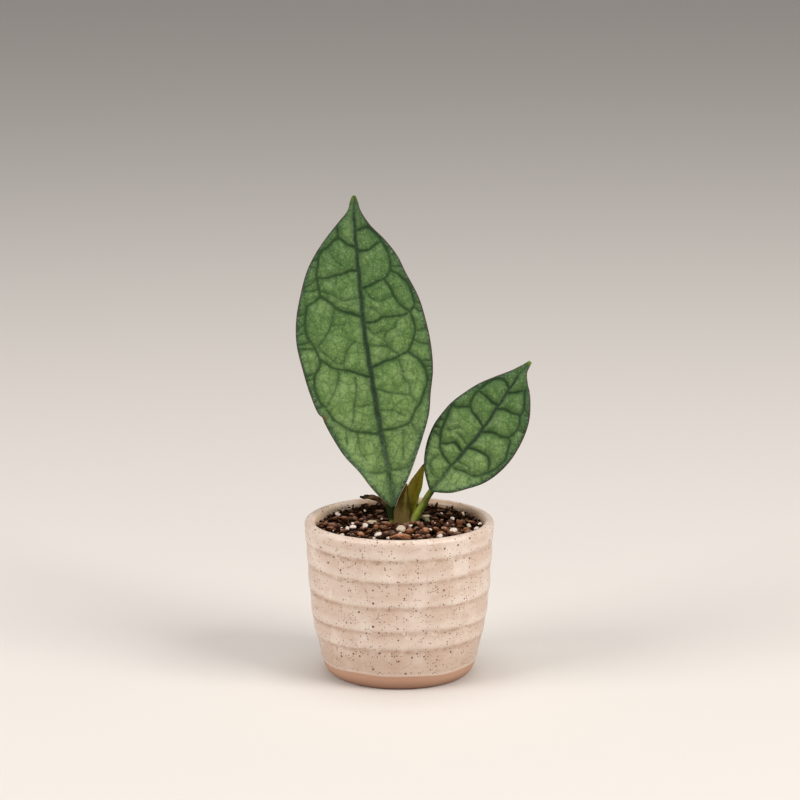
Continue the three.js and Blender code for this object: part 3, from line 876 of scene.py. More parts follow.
@dataclass(frozen=True)
class StemSkin(Finish):
    """Young stem and roots: green-brown skin with corky freckles."""

    name: str = "stem_skin"
    roughness: float = 0.7
    relief: float = 0.3
    green: str = "#6d7440"
    cork: str = "#6b5235"

    def paint(self, tree: bpy.types.NodeTree) -> tuple[Socket, Feed, Socket]:
        """Paint the stem, as Finish.paint says."""
        cork = texture(tree, "Noise", 2.5, Detail=4.0)
        colour = lay_colours(tree, self.green, (Layer(self.cork, cork, 0.45, 0.65),))
        return colour, self.roughness, cork


# -------------------------------------------------------------------------- pot


def waves(angle: np.ndarray, height: np.ndarray, terms: Sequence[Wave]) -> np.ndarray:
    """Add up waves that run round the pot and drift as they climb.

    Args:
        angle: The angle of each place round the pot's axis.
        height: The height of each place.
        terms: Size, turns round the pot, phase, and phase for each millimetre up.

    Returns:
        The sum of the waves at each place.
    """
    return sum(
        size * np.sin(turns * angle + phase + climb * height)
        for size, turns, phase, climb in terms
    )


@dataclass
class ThrownPot:
    """The stoneware pot: one turned shell with throwing rings and a full-round lip.

    Attributes:
        height: From the base to the top of the lip.
        rim_radius: The radius outside the lip.
        lip_radius: Half the thickness of the lip.
        ring_relief: How far the throwing rings stand out.
        ring_rise: How far each ring reaches over its crest.
        ring_drop: How far it reaches below it.
        ring_crests: How high the crests of the rings lie.
        ring_zone: The part of the wall that shows them.
        body: Height and radius of the outside, without its rings.
        foot_heights: Where the rounded foot's sections lie.
        inside: Height and radius of the inner wall.
        floor: Radius and height of the inner floor, from the wall to the centre.
        glaze_line: How high above the base the glaze stops.
        steps: Steps of the full turn.
        wall_step: The height between the sections of the outer wall.
        inner_step: The same for the inner wall.
        lip_steps: Points of the half circle of the lip.
        ring_waves: How the rings wander up and down.
        dents: How the wall leaves the round.
        line_waves: How the glaze line wanders.
        dent_depth: How deep the dents are, as a share of the radius.
        oval: How far the pot is from round, as a share of the radius.
        lip_wander: How far the lip dips.
    """

    height: float = 74.5
    rim_radius: float = 44.8
    lip_radius: float = 2.4
    ring_relief: float = 0.5
    ring_rise: float = 5.0
    ring_drop: float = 1.9
    ring_crests: tuple[float, ...] = (66.3, 55.9, 43.2, 31.0, 22.0)
    ring_zone: Pair = (12.0, 71.0)
    body: tuple[Pair, ...] = (
        (0, 31.2), (1.1, 33.3), (3.2, 35.0), (7.0, 36.4), (12, 37.9), (18, 39.3), (25, 40.6),
        (34, 41.9), (45, 43.0), (56, 43.7), (66, 44.2), (72.1, 44.8),
    )
    foot_heights: tuple[float, ...] = (
        0.35, 0.7, 1.1, 1.7, 2.4, 3.2, 4.2, 5.4, 6.8, 8.4, 10.0,
    )
    inside: tuple[Pair, ...] = (
        (6.0, 26.0), (9.5, 31.0), (16, 34.0), (30, 37.0), (50, 39.2), (72.1, 40.0),
    )
    floor: tuple[Pair, ...] = ((29.6, 8.0), (26.0, 6.6), (22.0, 6.0), (11.0, 6.0), (0.0, 6.0))
    glaze_line: float = 7.4
    steps: int = 176
    wall_step: float = 0.45
    inner_step: float = 2.4
    lip_steps: int = 25
    ring_waves: tuple[Wave, ...] = (
        (0.5, 2, 0.8, 0.13), (0.3, 3, 2.1, -0.091), (0.2, 5, 0, 0.221), (0.1, 11, 0, -0.13),
    )
    dents: tuple[Wave, ...] = ((1.0, 3, 0, 0.3), (1.0, 7, 1, -0.21), (0.6, 13, 0, 0.4))
    line_waves: tuple[Wave, ...] = ((0.35, 3, 1, 0), (0.2, 8, 0, 0))
    dent_depth: float = 0.0011
    oval: float = 0.0016
    lip_wander: float = 0.12

    def swell(self, height: np.ndarray) -> np.ndarray:
        """Return how far the throwing rings stand out at each height."""
        total = np.full_like(height, -self.ring_relief / 2)
        for crest in self.ring_crests:
            apart = height - crest
            reach = np.where(apart > 0, self.ring_rise, self.ring_drop)
            total += self.ring_relief * np.exp(-((apart / reach) ** 2))
        return total * (1 - ease(height, 68.0, 71.5))

    def profile(self) -> list[Pair]:
        """Return radius and height from the base's centre round to the floor's centre."""
        outside, inside = smooth_profile(self.body), smooth_profile(self.inside)
        top = self.height - self.lip_radius
        points: list[Pair] = [(radius, 0.0) for radius in (0.0, 10.0, 20.0, 28.0, 31.2)]
        points += [(float(outside(height)), height) for height in self.foot_heights]
        wall = np.arange(self.foot_heights[-1] + 0.8, top, self.wall_step)
        points += [(float(r), float(z)) for r, z in zip(outside(wall) + self.swell(wall), wall)]
        centre = self.rim_radius - self.lip_radius
        for angle in np.linspace(0, math.pi, self.lip_steps):
            radius = centre + self.lip_radius * math.cos(angle)
            points.append((radius, top + self.lip_radius * math.sin(angle)))
        for height in np.arange(top - 1.2, self.inside[1][0], -self.inner_step):
            points.append((float(inside(height)), float(height)))
        return [*points, *self.floor]

    def build(self) -> None:
        """Throw the pot, let its rings wander as a hand leaves them, and dress it."""
        pot = turned_piece("pot_shell", self.profile(), self.steps)
        places = get_vertices(pot)
        angle = np.arctan2(places[:, 1], places[:, 0])
        # The heights are a view, and follow the places as they move.
        height, radius = places[:, 2], np.hypot(places[:, 0], places[:, 1])
        low, high = self.inside[0][0], self.inside[-1][0]
        outer = radius > smooth_profile(self.inside)(np.clip(height, low, high)) + 1.5
        ringed = outer & (height > self.ring_zone[0]) & (height < self.ring_zone[1])
        relief = np.where(ringed, self.swell(height), 0.1)
        lip = ease(height, self.height - 3.6 * self.lip_radius, self.height - self.lip_radius)
        hold = ease(height, 8, 20) * (1 - ease(height, 64, 71)) * outer
        places[:, 2] += hold * waves(angle, height, self.ring_waves)
        places[:, 2] -= lip * self.lip_wander * (1 + np.sin(2 * angle + 1.2))
        dented = self.dent_depth * hold * (2.6 + waves(angle, height, self.dents))
        shrink = self.oval * (1 + np.sin(2 * angle + 0.5)) + dented
        places[:, :2] *= (1 - shrink)[:, None]
        set_vertices(pot, places)
        line = self.glaze_line + waves(angle, height, self.line_waves)
        # The inner wall gets painted shade at 1, and warm painted light at -1, towards the left.
        side = ease(np.abs(places[:, 0]), 28.0, 40.0)
        depth = self.rim_radius - self.lip_radius - radius
        inside = (1 - outer) * ease(depth - 1.4 * side, -0.8, 1.2)
        store(
            pot,
            over_line=np.where(outer, height - line, 60.0),
            relief=np.clip(relief / self.ring_relief + 0.5, 0, 1),
            pool=self.pooling(angle, height) * outer,
            lip=lip,
            inside=inside * (2 * ease(places[:, 0], -36.0, -14.0) - 1),
        )
        smooth_faces(pot)
        dress(pot, SpeckledGlaze(), ["pot"])

    def pooling(self, angle: np.ndarray, height: np.ndarray) -> np.ndarray:
        """Return how thick the glaze has pooled under the throwing rings, with the painted shade
        that lies there too.

        Args:
            angle: The angle of each place round the pot's axis.
            height: The height of each place.

        Returns:
            The pooled glaze and its painted shade, from 0 to 1.
        """
        pool = np.zeros_like(height)
        for crest in self.ring_crests:
            under = height - crest + self.ring_drop
            patchy = 0.72 + 0.28 * np.sin(3 * angle + crest) * np.sin(5 * angle + 2 * crest)
            pool += patchy * np.exp(-((under / np.where(under > 0, 0.7, 1.4)) ** 2))
        return np.clip(pool, 0, 1)


# ------------------------------------------------------------------ camera view


@dataclass(frozen=True)
class Viewpoint:
    """The photograph's camera, and where its pixels fall on the mix."""

    place: Triple = (0.33, -1681.0, 493.5)
    pitch_down: float = 12.16
    focal_pixels: float = 3679.0
    picture: int = 800
    sensor: float = 36.0

    def point(self, column: float, row: float, height: float) -> Vector:
        """Return the point at a height that a pixel of the photograph shows."""
        pitch = math.radians(self.pitch_down)
        side = (column - self.picture / 2) / self.focal_pixels
        rise = (self.picture / 2 - row) / self.focal_pixels
        ahead = Vector((0, math.cos(pitch), -math.sin(pitch)))
        up = Vector((0, math.sin(pitch), math.cos(pitch)))
        ray = Vector((1, 0, 0)) * side + up * rise + ahead
        start = Vector(self.place)
        return start + ray * ((height - start.z) / ray.z)

    def build(self) -> None:
        """Set up the scene's camera."""
        data = bpy.data.cameras.new("view")
        data.sensor_width = self.sensor
        data.lens = self.focal_pixels * self.sensor / self.picture
        data.clip_end = 50
        camera = bpy.data.objects.new("view", data)
        camera.location = Vector(self.place) * MM
        camera.rotation_euler = (math.radians(90 - self.pitch_down), 0, 0)
        bpy.context.collection.objects.link(camera)
        bpy.context.scene.camera = camera


# ------------------------------------------------------------------ potting mix


class Grain(Enum):
    """The kinds of grain in the mix."""

    CHUNK = "bark_chunks"
    SPLINTER = "bark_splinters"
    CRUMB = "bark_crumbs"
    PUMICE = "pumice_grains"


@dataclass(frozen=True)
class Placement:
    """One grain: where it lies, its half sizes, its turn and its shade."""

    place: Triple
    half: Triple
    turn: Triple
    tone: float


@dataclass(frozen=True)
class GrainModel:
    """How a kind of grain is broken out of a ball: fineness, flat cuts and pits."""

    levels: int
    cuts: int
    pits: float


GRAIN_MODELS = {
    Grain.CHUNK: GrainModel(3, 11, 0.2),
    Grain.SPLINTER: GrainModel(2, 9, 0.18),
    Grain.CRUMB: GrainModel(1, 4, 0.0),
    Grain.PUMICE: GrainModel(2, 6, 0.15),
}
# The row of random numbers that lays the large chips, as the solid's own chips are laid.
LEHMER_FACTOR = 48271
LEHMER_PRIME = 2**31 - 1


@dataclass
class PottingMix:
    """Bark chips, peat and pumice, heaped a little round the plant and up the wall.

    The heap_shares are what the heap at the wall has all round, and what its back
    gains and its front loses. A chip's tone falls by back_shade towards the back.
    """

    view: Viewpoint
    edge_height: float = 68.6
    crown_height: float = 69.6
    edge_radius: float = 39.3
    wall_heap: float = 2.8
    back_heap: float = 1.5
    heap_shares: Pair = (0.62, 0.38)
    bed_drop: float = 0.9
    bed_wall: tuple[Pair, ...] = (
        (0.0, 6.4), (25.4, 6.4), (30.4, 9.8), (33.4, 16.0), (36.4, 30.0), (38.6, 50.0),
        (39.3, 67.0),
    )
    bed_top: float = 68.4
    bed_top_radius: float = 39.2
    bed_rings: int = 66
    bed_steps: int = 150
    crumb_size: float = 1.5
    heap_start: float = 26.0
    chip_count: int = 84
    field_radius: float = 35.3
    chip_half: Pair = (3.1, 4.3)
    chip_flatness: Pair = (0.5, 0.75)
    chip_tilt: float = 0.5
    chip_seed: int = 20613
    splinter_count: int = 150
    crumb_count: int = 640
    wall_crumb_count: int = 300
    pumice_count: int = 19
    models: int = 6
    seen_lift: float = 1.5
    seen_lean: float = 0.9
    seen_stretch: Triple = (1.12, 0.9, 1.55)
    shade_slant: float = 0.4
    shade_reach: float = 30.0
    back_shade: float = 0.55
    hue_step: float = 0.618
    facet_angle: float = 42.0
    # Column and row in the view, half length, half width, turn in degrees, tone.
    chips_seen: tuple[tuple[float, ...], ...] = (
        (332.5, 526, 2.2, 1.7, 5, 0.6), (344.5, 519, 2.2, 1.1, -18, 0.82),
        (354, 518.5, 1.6, 0.9, 5, 0.97), (334, 519, 1.9, 0.8, 5, 0.4),
        (359.5, 513.5, 1.6, 0.55, 40, 0.7), (380, 512.5, 2.0, 0.65, 25, 0.85),
        (360, 523.8, 1.9, 0.8, 0, 0.45), (387, 524.6, 3.1, 1.2, -12, 0.78),
        (375.5, 527.3, 1.5, 1.0, 20, 0.75), (385, 529.2, 2.2, 0.75, -15, 0.6),
        (342, 530.7, 2.4, 0.8, 5, 0.88), (361, 535.2, 1.7, 0.9, -30, 0.93),
        (368, 532, 1.9, 0.65, 40, 0.82), (386, 534, 1.5, 1.1, 0, 0.55),
        (400, 536.8, 5.0, 1.4, -4, 0.98), (396.5, 526.6, 2.0, 0.35, 45, 0.8),
        (409, 532, 2.2, 1.4, 28, 0.7), (417, 536.6, 1.9, 0.9, 10, 0.85),
        (422, 526, 3.5, 0.95, -42, 0.9), (425.7, 531.2, 2.2, 1.4, -25, 1.0),
        (432.8, 523.4, 1.7, 0.6, 86, 0.97), (441, 521.2, 1.6, 0.65, 55, 0.93),
        (438, 530, 2.6, 0.85, -35, 0.78), (445.5, 530, 2.3, 1.0, -35, 0.95),
        (459.5, 524, 2.8, 0.95, -68, 0.87), (450.5, 513.5, 2.2, 0.6, -42, 0.92),
        (440.5, 514.7, 2.2, 0.6, -38, 0.65), (446, 517.4, 1.7, 0.6, -35, 0.72),
        (474, 522.8, 3.2, 0.6, -20, 0.9), (466.5, 530, 1.5, 0.9, 0, 0.82),
        (460.5, 515, 1.8, 0.8, 85, 0.6), (326, 524, 1.6, 0.9, -50, 0.7),
        (452, 508, 1.6, 0.4, 80, 0.5), (353, 507, 1.9, 0.35, 82, 0.3),
        (436, 505.5, 2.0, 0.5, 70, 0.3), (340.5, 511.5, 1.4, 0.4, -50, 0.4),
        (415, 522.8, 1.7, 0.8, -15, 0.9),
    )
    pumice_seen: tuple[tuple[float, ...], ...] = (
        (338, 514, 1.3, 0.75, -25, 0.2), (352.8, 523.3, 0.75, 0.5, 0, 0.3),
        (353, 527, 1.5, 0.85, -8, 0.25), (347, 528.3, 1.0, 0.8, 30, 0.1),
        (342, 529, 0.9, 0.7, 0, 0.2), (365, 525.6, 1.4, 1.0, 65, 0.2),
        (378, 534.3, 1.7, 0.9, 35, 0.05), (374, 538, 0.6, 0.5, 0, 0.2),
        (353, 535.6, 1.2, 0.7, -40, 0.5), (341.5, 534.8, 1.3, 0.7, 0, 0.6),
        (365, 510.7, 0.7, 0.5, 0, 0.8), (452.3, 518.7, 1.0, 0.75, 90, 0.0),
        (435.5, 523.5, 0.6, 0.5, 0, 0.3), (448, 522.8, 0.8, 0.4, 45, 0.6),
        (453.6, 530.8, 1.75, 1.2, 15, 0.05), (439.5, 535.8, 1.4, 0.9, 10, 0.4),
        (469, 525.6, 1.2, 0.8, 0, 0.75), (480, 523.6, 0.9, 0.6, 0, 0.4),
        (463, 513.6, 1.0, 0.6, -70, 0.9), (372, 521.8, 2.1, 0.8, 3, 0.85),
        (401, 529, 2.0, 1.5, -35, 0.7), (426, 516, 2.1, 0.7, -8, 0.9),
        (426.5, 519.5, 1.9, 1.1, -8, 1.0), (400, 534.2, 1.1, 0.8, 20, 0.7),
        (410.5, 525.5, 0.9, 0.5, 20, 0.6),
    )

    def surface(self, x: float, y: float) -> float:
        """Return the height of the peat at a place."""
        radius = math.hypot(x, y)
        share = (radius / self.edge_radius) ** 2
        heap = max(0.0, (radius - self.heap_start) / (self.edge_radius - self.heap_start)) ** 2
        behind = y / max(radius, 1.0)
        even, swing = self.heap_shares
        heap *= self.wall_heap * (even + swing * behind) + self.back_heap * max(0.0, behind) ** 3
        return self.crown_height + (self.edge_height - self.crown_height) * share + heap

    def bed(self) -> None:
        """Make the body of the mix with its crumbly top."""
        rings = np.linspace(self.bed_top_radius, 0, self.bed_rings)
        profile = [*self.bed_wall, *((float(radius), self.bed_top) for radius in rings)]
        bed = turned_piece("peat_bed", profile, self.bed_steps)
        group = bed.vertex_groups.new(name="top")
        places = get_vertices(bed)
        top = places[:, 2] > self.bed_top - 0.4
        places[top, 2] = [self.surface(x, y) - self.bed_drop for x, y, _ in places[top]]
        set_vertices(bed, places)
        inner = top & (np.hypot(places[:, 0], places[:, 1]) < self.bed_top_radius - 0.2)
        group.add([int(i) for i in np.flatnonzero(inner)], 1.0, "REPLACE")
        crumbs = bpy.data.textures.new("crumbs", "CLOUDS")
        crumbs.noise_scale = self.crumb_size * MM
        apply_modifier(
            bed, "DISPLACE", texture=crumbs, strength=self.crumb_size * MM, mid_level=0.6,
            vertex_group="top", texture_coords="LOCAL",
        )
        smooth_faces(bed, 50)
        dress(bed, PeatSkin(), ["potting_mix"])

    def model(self, kind: Grain, index: int) -> bpy.types.Object:
        """Break one model grain out of a ball with flat cuts.

        Args:
            kind: What it is made of.
            index: Which of the models.

        Returns:
            A grain about two units long.
        """
        draw = random.Random(f"{kind.value}{index}")
        plan = GRAIN_MODELS[kind]
        bpy.ops.object.select_all(action="DESELECT")
        bpy.ops.mesh.primitive_ico_sphere_add(subdivisions=plan.levels, radius=1)
        grain = active_mesh(f"{kind.value}_model_{index}")
        bpy.ops.object.mode_set(mode="EDIT")
        for _ in range(plan.cuts):
            bpy.ops.mesh.select_all(action="SELECT")
            way = Vector((draw.gauss(0, 0.7), draw.gauss(0, 1), draw.gauss(0, 1))).normalized()
            bpy.ops.mesh.bisect(
                plane_co=way * draw.uniform(0.5, 0.85), plane_no=way, use_fill=True,
                clear_outer=True,
            )
        bpy.ops.object.mode_set(mode="OBJECT")
        apply_modifier(grain, "BEVEL", width=0.08, segments=1, limit_method="ANGLE")
        if plan.pits:
            pits = bpy.data.textures.new(f"{kind.value}_pits_{index}", "CLOUDS")
            pits.noise_scale = 0.3 + 0.05 * index
            apply_modifier(
                grain, "DISPLACE", texture=pits, strength=plan.pits, mid_level=0.55,
                texture_coords="LOCAL",
            )
        return grain

    def scatter(self, kind: Grain, placements: Sequence[Placement]) -> bpy.types.Object:
        """Copy model grains to their places, as one piece with a tone for each grain.

        Args:
            kind: What the grains are made of.
            placements: Where they lie.

        Returns:
            The piece.
        """
        models = [self.model(kind, i) for i in range(self.models)]
        heap = bmesh.new()
        tone = heap.verts.layers.float.new("tone")
        low = heap.verts.layers.float.new("low")
        hue = heap.verts.layers.float.new("hue")
        for index, spot in enumerate(placements):
            before = len(heap.verts)
            heap.from_mesh(models[index % self.models].data)
            heap.verts.ensure_lookup_table()
            fresh = heap.verts[before:]
            turn = Euler(spot.turn).to_matrix().to_4x4()
            shift = Matrix.Translation(Vector(spot.place) * MM)
            size = Matrix.Diagonal((*(half * MM for half in spot.half), 1))
            bmesh.ops.transform(heap, matrix=shift @ turn @ size, verts=fresh)
            behind = (spot.place[1] + self.shade_slant * spot.place[0]) / self.shade_reach
            back = max(0.0, min(1.0, behind)) * (kind is not Grain.PUMICE)
            # Painted light and shade for the bark: low runs from 0 at the lit top of each grain to
            # 1 at its shaded bottom.
            bottom = min(vertex.co.z for vertex in fresh)
            tall = max(vertex.co.z for vertex in fresh) - bottom
            for vertex in fresh:
                vertex[tone] = spot.tone * (1 - self.back_shade * back)
                vertex[hue] = index * self.hue_step % 1
                vertex[low] = 1 - (vertex.co.z - bottom) / tall
        made, *others = models
        made.name = made.data.name = kind.value
        heap.to_mesh(made.data)
        heap.free()
        for model in others:
            bpy.data.objects.remove(model)
        smooth_faces(made, self.facet_angle)
        return made

    def chunks(self) -> list[Placement]:
        """Lay the large chips, by the rule that the solid's own chips follow."""
        state = self.chip_seed

        def draw() -> float:
            """Return the next number of the seeded row, from 0 to 1."""
            nonlocal state
            state = state * LEHMER_FACTOR % LEHMER_PRIME
            return state / LEHMER_PRIME

        found = []
        shade = random.Random(5)
        for index in range(self.chip_count):
            radius = self.field_radius * math.sqrt((index + 0.5) / self.chip_count)
            angle = index * math.pi * (3 - math.sqrt(5)) + (draw() - 0.5) * 0.3
            half = between(self.chip_half, draw())
            flat = between(self.chip_flatness, draw())
            wide = half * (0.6 + 0.35 * draw())
            turn = ((draw() - 0.5) * self.chip_tilt, (draw() - 0.5) * self.chip_tilt, draw() * TAU)
            x, y = radius * math.cos(angle), radius * math.sin(angle)
            tall = half * flat * 0.75
            sizes = (half * 0.7, wide * 0.72, tall)
            place = (x, y, self.surface(x, y) + tall * 0.2)
            found.append(Placement(place, sizes, turn, 0.85 * shade.random() ** 1.2))
        return found

    def seen(self, marks: Sequence[Sequence[float]]) -> list[Placement]:
        """Lay grains where the front view shows them, facing it and leaning back.

        Args:
            marks: Column, row, half length, half width, turn and tone of each.

        Returns:
            Their placements.
        """
        found = []
        long, high, deep = self.seen_stretch
        for column, row, half, wide, turn, tone in marks:
            height = self.crown_height + self.seen_lift
            spot = self.view.point(column, row, height)
            for _ in range(3):
                height = self.surface(spot.x, spot.y) + self.seen_lift
                spot = self.view.point(column, row, height)
            lean = Matrix.Rotation(-self.seen_lean, 3, "X")
            roll = Matrix.Rotation(-math.radians(turn), 3, "Y")
            shape = (half * long, wide * high, wide * deep)
            found.append(Placement(tuple(spot), shape, tuple((lean @ roll).to_euler()), tone))
        return found

    def scattered(
        self, count: int, seed: int, ring: Pair, lengths: Pair, slim: Pair
    ) -> list[Placement]:
        """Strew grains over the surface of the mix.

        Args:
            count: How many.
            seed: The seed of their row.
            ring: The least and the greatest distance from the pot's axis.
            lengths: The least and the greatest half length.
            slim: The least and the greatest width for each unit of length.

        Returns:
            Their placements.
        """
        draw = random.Random(seed)
        found = []
        for _ in range(count):
            radius = math.sqrt(draw.uniform(ring[0] ** 2, ring[1] ** 2))
            angle = draw.random() * TAU
            x, y = radius * math.cos(angle), radius * math.sin(angle)
            half = draw.uniform(*lengths)
            shape = (half, half * draw.uniform(*slim), half * draw.uniform(*slim) * 0.85)
            turn = (draw.uniform(-0.6, 0.6), draw.uniform(-0.6, 0.6), draw.random() * TAU)
            height = self.surface(x, y) + draw.uniform(0.0, 1.0) * min(1.3, shape[2] + 0.5)
            found.append(Placement((x, y, height), shape, turn, draw.random() ** 1.7))
        return found

    def build(self) -> None:
        """Make the bed and everything that lies in it."""
        self.bed()
        chips, pale = self.seen(self.chips_seen), self.seen(self.pumice_seen)
        strewn = self.scattered(self.pumice_count, 31, (0.0, 37.5), (0.6, 1.4), (0.75, 0.95))
        slim, crumbly = (0.5, 0.9), (0.4, 0.75)
        splinters = self.scattered(self.splinter_count, 12, (4.0, 36.8), (1.0, 2.1), slim)
        crumbs = self.scattered(self.crumb_count, 77, (0.0, 38.0), (0.5, 1.5), crumbly)
        crumbs += self.scattered(self.wall_crumb_count, 8, (35.0, 38.9), (0.5, 1.05), crumbly)
        for kind, placements, finish in (
            (Grain.CHUNK, self.chunks(), BarkSkin()),
            (Grain.SPLINTER, chips + splinters, BarkSkin()),
            (Grain.CRUMB, crumbs, BarkSkin()),
            (Grain.PUMICE, pale + strewn, PumiceSkin()),
        ):
            dress(self.scatter(kind, placements), finish, ["potting_mix"])


# ----------------------------------------------------------------- grown leaves


@dataclass(frozen=True)
class Vein:
    """One vein of the net, as a route in the leaf's own plan.

    Attributes:
        route: Points as [along, across], from its thick end to its thin one.
        wide: Half widths at both ends.
        depth: How dark and how deep it is, from 0 to 1.
    """

    route: tuple[Pair, ...]
    wide: Pair
    depth: float


@dataclass(frozen=True)
class LeafForm:
    """Plan, bend and net of one grown leaf, with its stalk.

    Plan points are [along, across], from the blade's base towards its tip.

    Attributes:
        name: The CAD node.
        base: Where the blade starts.
        tip: Where it ends.
        lean_back: How far it leans back, in degrees.
        turn: How far it turns from the front, in degrees.
        arch: How far its middle bows forward.
        base_curl: How far its margins curl forward near the base.
        curl: How far they curl forward all along.
        left: The left outline.
        right: The right outline.
        midrib: The midrib's route.
        midrib_wide: Its half widths at both ends.
        midrib_depth: How dark and how deep it is, from 0 to 1.
        laterals: The main side veins.
        threads: The finer veins between them.
        ladders: The veins that send rungs out to the margin.
        ladder_step: About how far apart the rungs are.
        puff: How far the cells stand up.
        groove: How far the veins are sunk.
        spacing: How far apart the vertices are.
        foot: Where the stalk leaves the crown.
        rise: The points that the stalk passes.
        blade_end: Where the stalk ends: places along the midrib, and heights over it.
        stalk_radii: The stalk's radii, in even steps from its foot.
        yellow_tip: Where the yellow starts, as a share of the length, and how much shows.
        lit_stalk: Whether light falls on the stalk.
        scar: An old nick in the margin: along, across and size.
    """

    name: str
    base: Triple
    tip: Triple
    lean_back: float
    turn: float
    arch: float
    base_curl: float
    curl: float
    left: tuple[Pair, ...]
    right: tuple[Pair, ...]
    midrib: tuple[Pair, ...]
    midrib_wide: Pair
    midrib_depth: float
    laterals: tuple[tuple[Pair, ...], ...]
    threads: tuple[tuple[Pair, ...], ...]
    ladders: tuple[tuple[Pair, ...], ...]
    ladder_step: float
    puff: float
    groove: float
    spacing: float
    foot: Pair
    rise: tuple[Triple, ...]
    blade_end: tuple[Pair, ...]
    stalk_radii: tuple[float, ...]
    yellow_tip: Pair
    lit_stalk: bool = False
    scar: Triple | None = None


